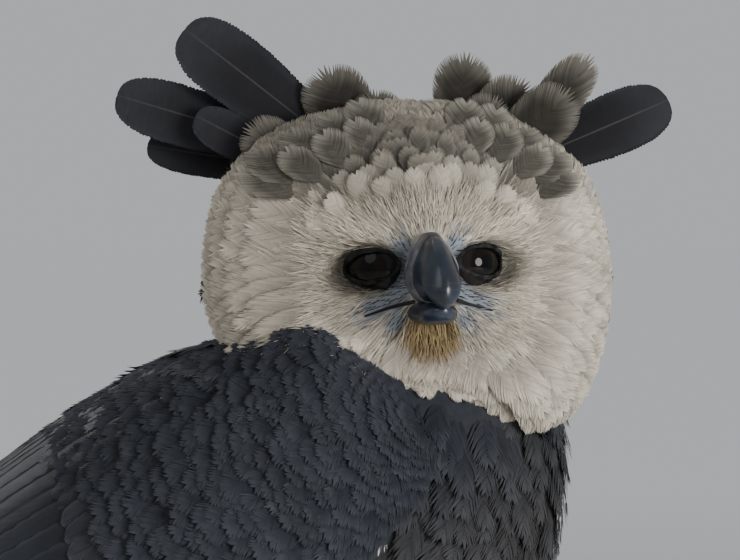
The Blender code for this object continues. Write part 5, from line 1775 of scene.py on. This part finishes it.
class EAGLE_OT_legs(bpy.types.Operator):
    """Scaly shanks and toes, and the talons"""

    bl_idname = "eagle.legs"
    bl_label = "Legs and feet"

    def execute(self, context):
        scale = self.paint()
        claw = Recipe("claw_horn", roughness=0.38, specular_ior_level=0.3)
        cloud = claw.noise(160.0, 4.0)
        claw.feed(base_color=claw.mix(cloud, colour_of("horn"), colour_of("horn") * 2.2))
        claw.bump(cloud, 0.12, 0.0004)
        for side, word in ((1, "left"), (-1, "right")):
            forms = [lofted(self.shank(side))]
            claws = []
            nodes = ["shank_" + word]
            for part, heading, length, base, end, claw_length, claw_radius in TOES:
                forms.append(lofted(self.toe(side, heading, length, base, end)))
                claws.append(lofted(self.claw(side, heading, claw_length, length, claw_radius)))
                nodes.append("toe_" + part + "_" + word)
            made = fused(mesh_object("leg_skin_" + word, forms), 0.0011, 2, 0.4)
            points = points_of(made.data)
            points[:, 2] = np.maximum(points[:, 2], 0.0)
            set_points(made.data, points)
            finish_piece(made, scale, "leg_skin", *nodes)
            made = mesh_object("talons_" + word, claws)
            finish_piece(made, claw.material, "horn", *(node.replace("toe", "claw") for node in nodes[1:]))
        return {"FINISHED"}

    def shank(self, side):
        rings = limb_rings(SHANK_STATIONS, 120, 48, side, 0.0)
        middle = rings.mean(axis=1, keepdims=True)
        turn = circle(48)
        saw = (np.arange(120) / 8.0) % 1.0
        front = smooth_step(0.1, 0.6, np.cos(turn))
        raised = 1.0 * MM * front[None, :] * smooth_step(0.0, 0.75, saw)[:, None] * (saw < 0.93)[:, None]
        return rings + unit(rings - middle) * raised[..., None]

    def toe_frame(self, side, heading, reach):
        """A toe's direction, the one across it, and a place on it so many mm from the foot's middle."""
        turn = math.radians(heading) * side
        way = np.array((math.cos(turn), math.sin(turn), 0.0))
        start = np.array((FOOT_CENTRE[0], side * FOOT_CENTRE[1], 0.0)) + way * reach * MM + SHIFT
        return way, np.array((-way[1], way[0], 0.0)), start

    def toe(self, side, heading, length, base, end):
        way, across, start = self.toe_frame(side, heading, TOE_START)
        t = np.linspace(0.0, 1.0, 81)
        around = circle(40)
        radius = base + (end - base) * t
        swell = 1 + 0.06 * np.cos(6 * np.pi * t)
        swell *= np.interp(t, (0.0, 0.12, 0.88, 1.0), (0.85, 1.0, 1.0, 0.62))
        high = radius * 0.96 + 1.5 * np.sin(np.pi * t)
        rise = high[:, None] + (radius * swell)[:, None] * np.cos(around)
        saw = (np.arange(81) / (2.2 * 81 / length)) % 1.0
        front = smooth_step(0.2, 0.7, np.cos(around))
        rise = rise + 0.9 * front * (smooth_step(0.0, 0.75, saw) * (saw < 0.9))[:, None]
        rise = np.maximum(rise, SOLE_CUT) - SOLE_CUT
        wide = (radius * swell)[:, None] * np.sin(around)
        rings = start + way * (length * MM * t)[:, None, None] + across * (wide * MM)[..., None]
        rings[..., 2] = rise * MM
        return rings

    def claw(self, side, heading, length, toe_length, radius):
        way, across, start = self.toe_frame(side, heading, TOE_START + toe_length - CLAW_OVERLAP)
        start[2] = 0.0
        count = 42
        around = circle(28)
        place = start + UP * CLAW_ROOT_HEIGHT * MM
        rings = []
        for i in range(count):
            t = i / (count - 1)
            slope = math.radians(52.0) - math.radians(128.0) * t
            along = way * math.cos(slope) + UP * math.sin(slope)
            over = UP * math.cos(slope) - way * math.sin(slope)
            thick = radius * MM * (1 - 0.94 * t**1.25)
            ring = place + thick * (0.82 * across * np.sin(around)[:, None] + over * np.cos(around)[:, None])
            rings.append(ring)
            place = place + along * length * MM / (count - 1)
        rings = np.array(rings)
        lowest = rings[..., 2].min()
        if lowest < CLAW_CLEARANCE * MM:
            share = np.minimum(1.0, (rings - start) @ way / (0.4 * length * MM))
            rings[..., 2] += (CLAW_CLEARANCE * MM - lowest) * share
        return rings

    def paint(self):
        recipe = Recipe("scaly_skin", roughness=0.58, specular_ior_level=0.4)
        cells = {"feature": "DISTANCE_TO_EDGE"}
        inputs = {"Vector": recipe.place(), "Scale": 330.0, "Randomness": 0.7}
        groove = recipe.node("ShaderNodeTexVoronoi", cells, inputs)
        cloud = recipe.noise(60.0, 4.0)
        plate = recipe.ramp(groove, 0.02, 0.14)
        tone = recipe.mix(cloud, colour_of("leg"), colour_of("leg") * (0.75, 0.66, 0.6))
        recipe.feed(base_color=recipe.mix(plate, colour_of("leg") * (0.38, 0.3, 0.25), tone))
        recipe.bump(plate + 0.2 * cloud, 0.55, 0.0006)
        return recipe.material


# The photo's view: the side it is taken from and how far up, in degrees, how far away, the size of a pixel at
# the head, the picture's size and the middle of the head in pixels, and the camera's film width in mm.
VIEW_SIDE = 355.0
VIEW_HEIGHT = 0.5
DISTANCE = 3.2
PIXEL = 0.45 * MM
PICTURE = (740, 560)
HEAD_PIXEL = (415, 265)
FILM_WIDTH = 36.0
# Lights: name, metres right of the head, before it and above it in the view, power in watts, size in metres.
LIGHTS = (
    ("key", 1.9, 1.6, 0.2, 76.0, 1.1),
    ("fill", -1.6, 1.7, 1.4, 14.0, 1.8),
    ("rim", -0.8, -1.8, 1.6, 40.0, 1.0),
)
FLOOR_REACH = 120.0


class EAGLE_OT_stage(bpy.types.Operator):
    """Pale floor, soft studio light and the camera"""

    bl_idname = "eagle.stage"
    bl_label = "Stage"

    def execute(self, context):
        floor = Recipe("pale_floor", roughness=0.9, specular_ior_level=0.0)
        grain = floor.noise(3.0, 2.0)
        away = floor.node("ShaderNodeVectorMath", {"operation": "LENGTH"}, {0: floor.place()}, 1)
        # Far from the bird the floor is painted paler, up to white. This is painted light that makes up for
        # the lamps' light falling off there, so the floor meets the sky without a line.
        far = floor.ramp(away, 2.5, 12.0)
        near = floor.mix(grain, (0.70, 0.70, 0.69), (0.74, 0.74, 0.73))
        floor.feed(base_color=floor.mix(far, near, (0.998, 0.998, 0.998)))
        mesh = bpy.data.meshes.new("floor")
        corners = [(x * FLOOR_REACH, y * FLOOR_REACH, 0.0) for x, y in ((-1, -1), (1, -1), (1, 1), (-1, 1))]
        mesh.from_pydata(corners, [], [(0, 1, 2, 3)])
        made = bpy.data.objects.new("floor", mesh)
        context.scene.collection.objects.link(made)
        mesh.materials.append(floor.material)
        world = context.scene.world or bpy.data.worlds.new("studio")
        context.scene.world = world
        world.use_nodes = True
        sky = world.node_tree.nodes["Background"]
        sky.inputs["Color"].default_value = (0.86, 0.88, 0.90, 1.0)
        sky.inputs["Strength"].default_value = 0.55
        azimuth = math.radians(VIEW_SIDE - 90.0)
        right = np.array((math.cos(azimuth + math.pi / 2), math.sin(azimuth + math.pi / 2), 0.0))
        back = np.array((math.cos(azimuth), math.sin(azimuth), 0.0))
        aim = HEAD_CENTRE + SHIFT
        for name, across, away, high, power, size in LIGHTS:
            light = bpy.data.lights.new(name, "AREA")
            light.energy = power
            light.size = size
            light.shape = "DISK"
            lamp = bpy.data.objects.new(name, light)
            place = Vector(aim + right * across + back * away + UP * high)
            lamp.location = place
            lamp.rotation_euler = (Vector(aim) - place).to_track_quat("-Z", "Y").to_euler()
            context.scene.collection.objects.link(lamp)
        self.camera(context, right, back)
        return {"FINISHED"}

    def camera(self, context, right, back):
        """The photo's framing, at a pixel's size at the head."""
        lens = bpy.data.cameras.new("camera")
        lens.sensor_width = FILM_WIDTH
        lens.lens = FILM_WIDTH * DISTANCE / (PICTURE[0] * PIXEL)
        eye = bpy.data.objects.new("camera", lens)
        beside, below = HEAD_PIXEL[0] - PICTURE[0] / 2, HEAD_PIXEL[1] - PICTURE[1] / 2
        middle = HEAD_CENTRE + SHIFT - right * beside * PIXEL + UP * below * PIXEL
        high = math.radians(VIEW_HEIGHT)
        place = middle + back * DISTANCE * math.cos(high) + UP * DISTANCE * math.sin(high)
        eye.location = Vector(place)
        eye.rotation_euler = (Vector(middle) - Vector(place)).to_track_quat("-Z", "Y").to_euler()
        context.scene.collection.objects.link(eye)
        context.scene.camera = eye


class EAGLE_PT_panel(bpy.types.Panel):
    """Makes the bird's pieces one by one"""

    bl_label = "Harpy eagle"
    bl_idname = "EAGLE_PT_panel"
    bl_space_type = "VIEW_3D"
    bl_region_type = "UI"
    bl_category = "Eagle"

    def draw(self, context):
        for group in (context.scene.eagle_plumage, context.scene.eagle_sizes):
            for name in type(group).__annotations__:
                self.layout.prop(group, name)
        for operator in OPERATORS:
            self.layout.operator(operator.bl_idname)


OPERATORS = (
    EAGLE_OT_skin,
    EAGLE_OT_face,
    EAGLE_OT_ruff,
    EAGLE_OT_body,
    EAGLE_OT_wings,
    EAGLE_OT_tail,
    EAGLE_OT_bill,
    EAGLE_OT_eyes,
    EAGLE_OT_legs,
    EAGLE_OT_stage,
)
CLASSES = (EaglePlumage, EagleSizes, *OPERATORS, EAGLE_PT_panel)


def register():
    for kind in CLASSES:
        bpy.utils.register_class(kind)
    bpy.types.Scene.eagle_plumage = PointerProperty(type=EaglePlumage)
    bpy.types.Scene.eagle_sizes = PointerProperty(type=EagleSizes)


def unregister():
    del bpy.types.Scene.eagle_plumage
    del bpy.types.Scene.eagle_sizes
    for kind in reversed(CLASSES):
        bpy.utils.unregister_class(kind)


def main():
    register()
    for operator in OPERATORS:
        group, name = operator.bl_idname.split(".")
        getattr(getattr(bpy.ops, group), name)()


if __name__ == "__main__":
    main()
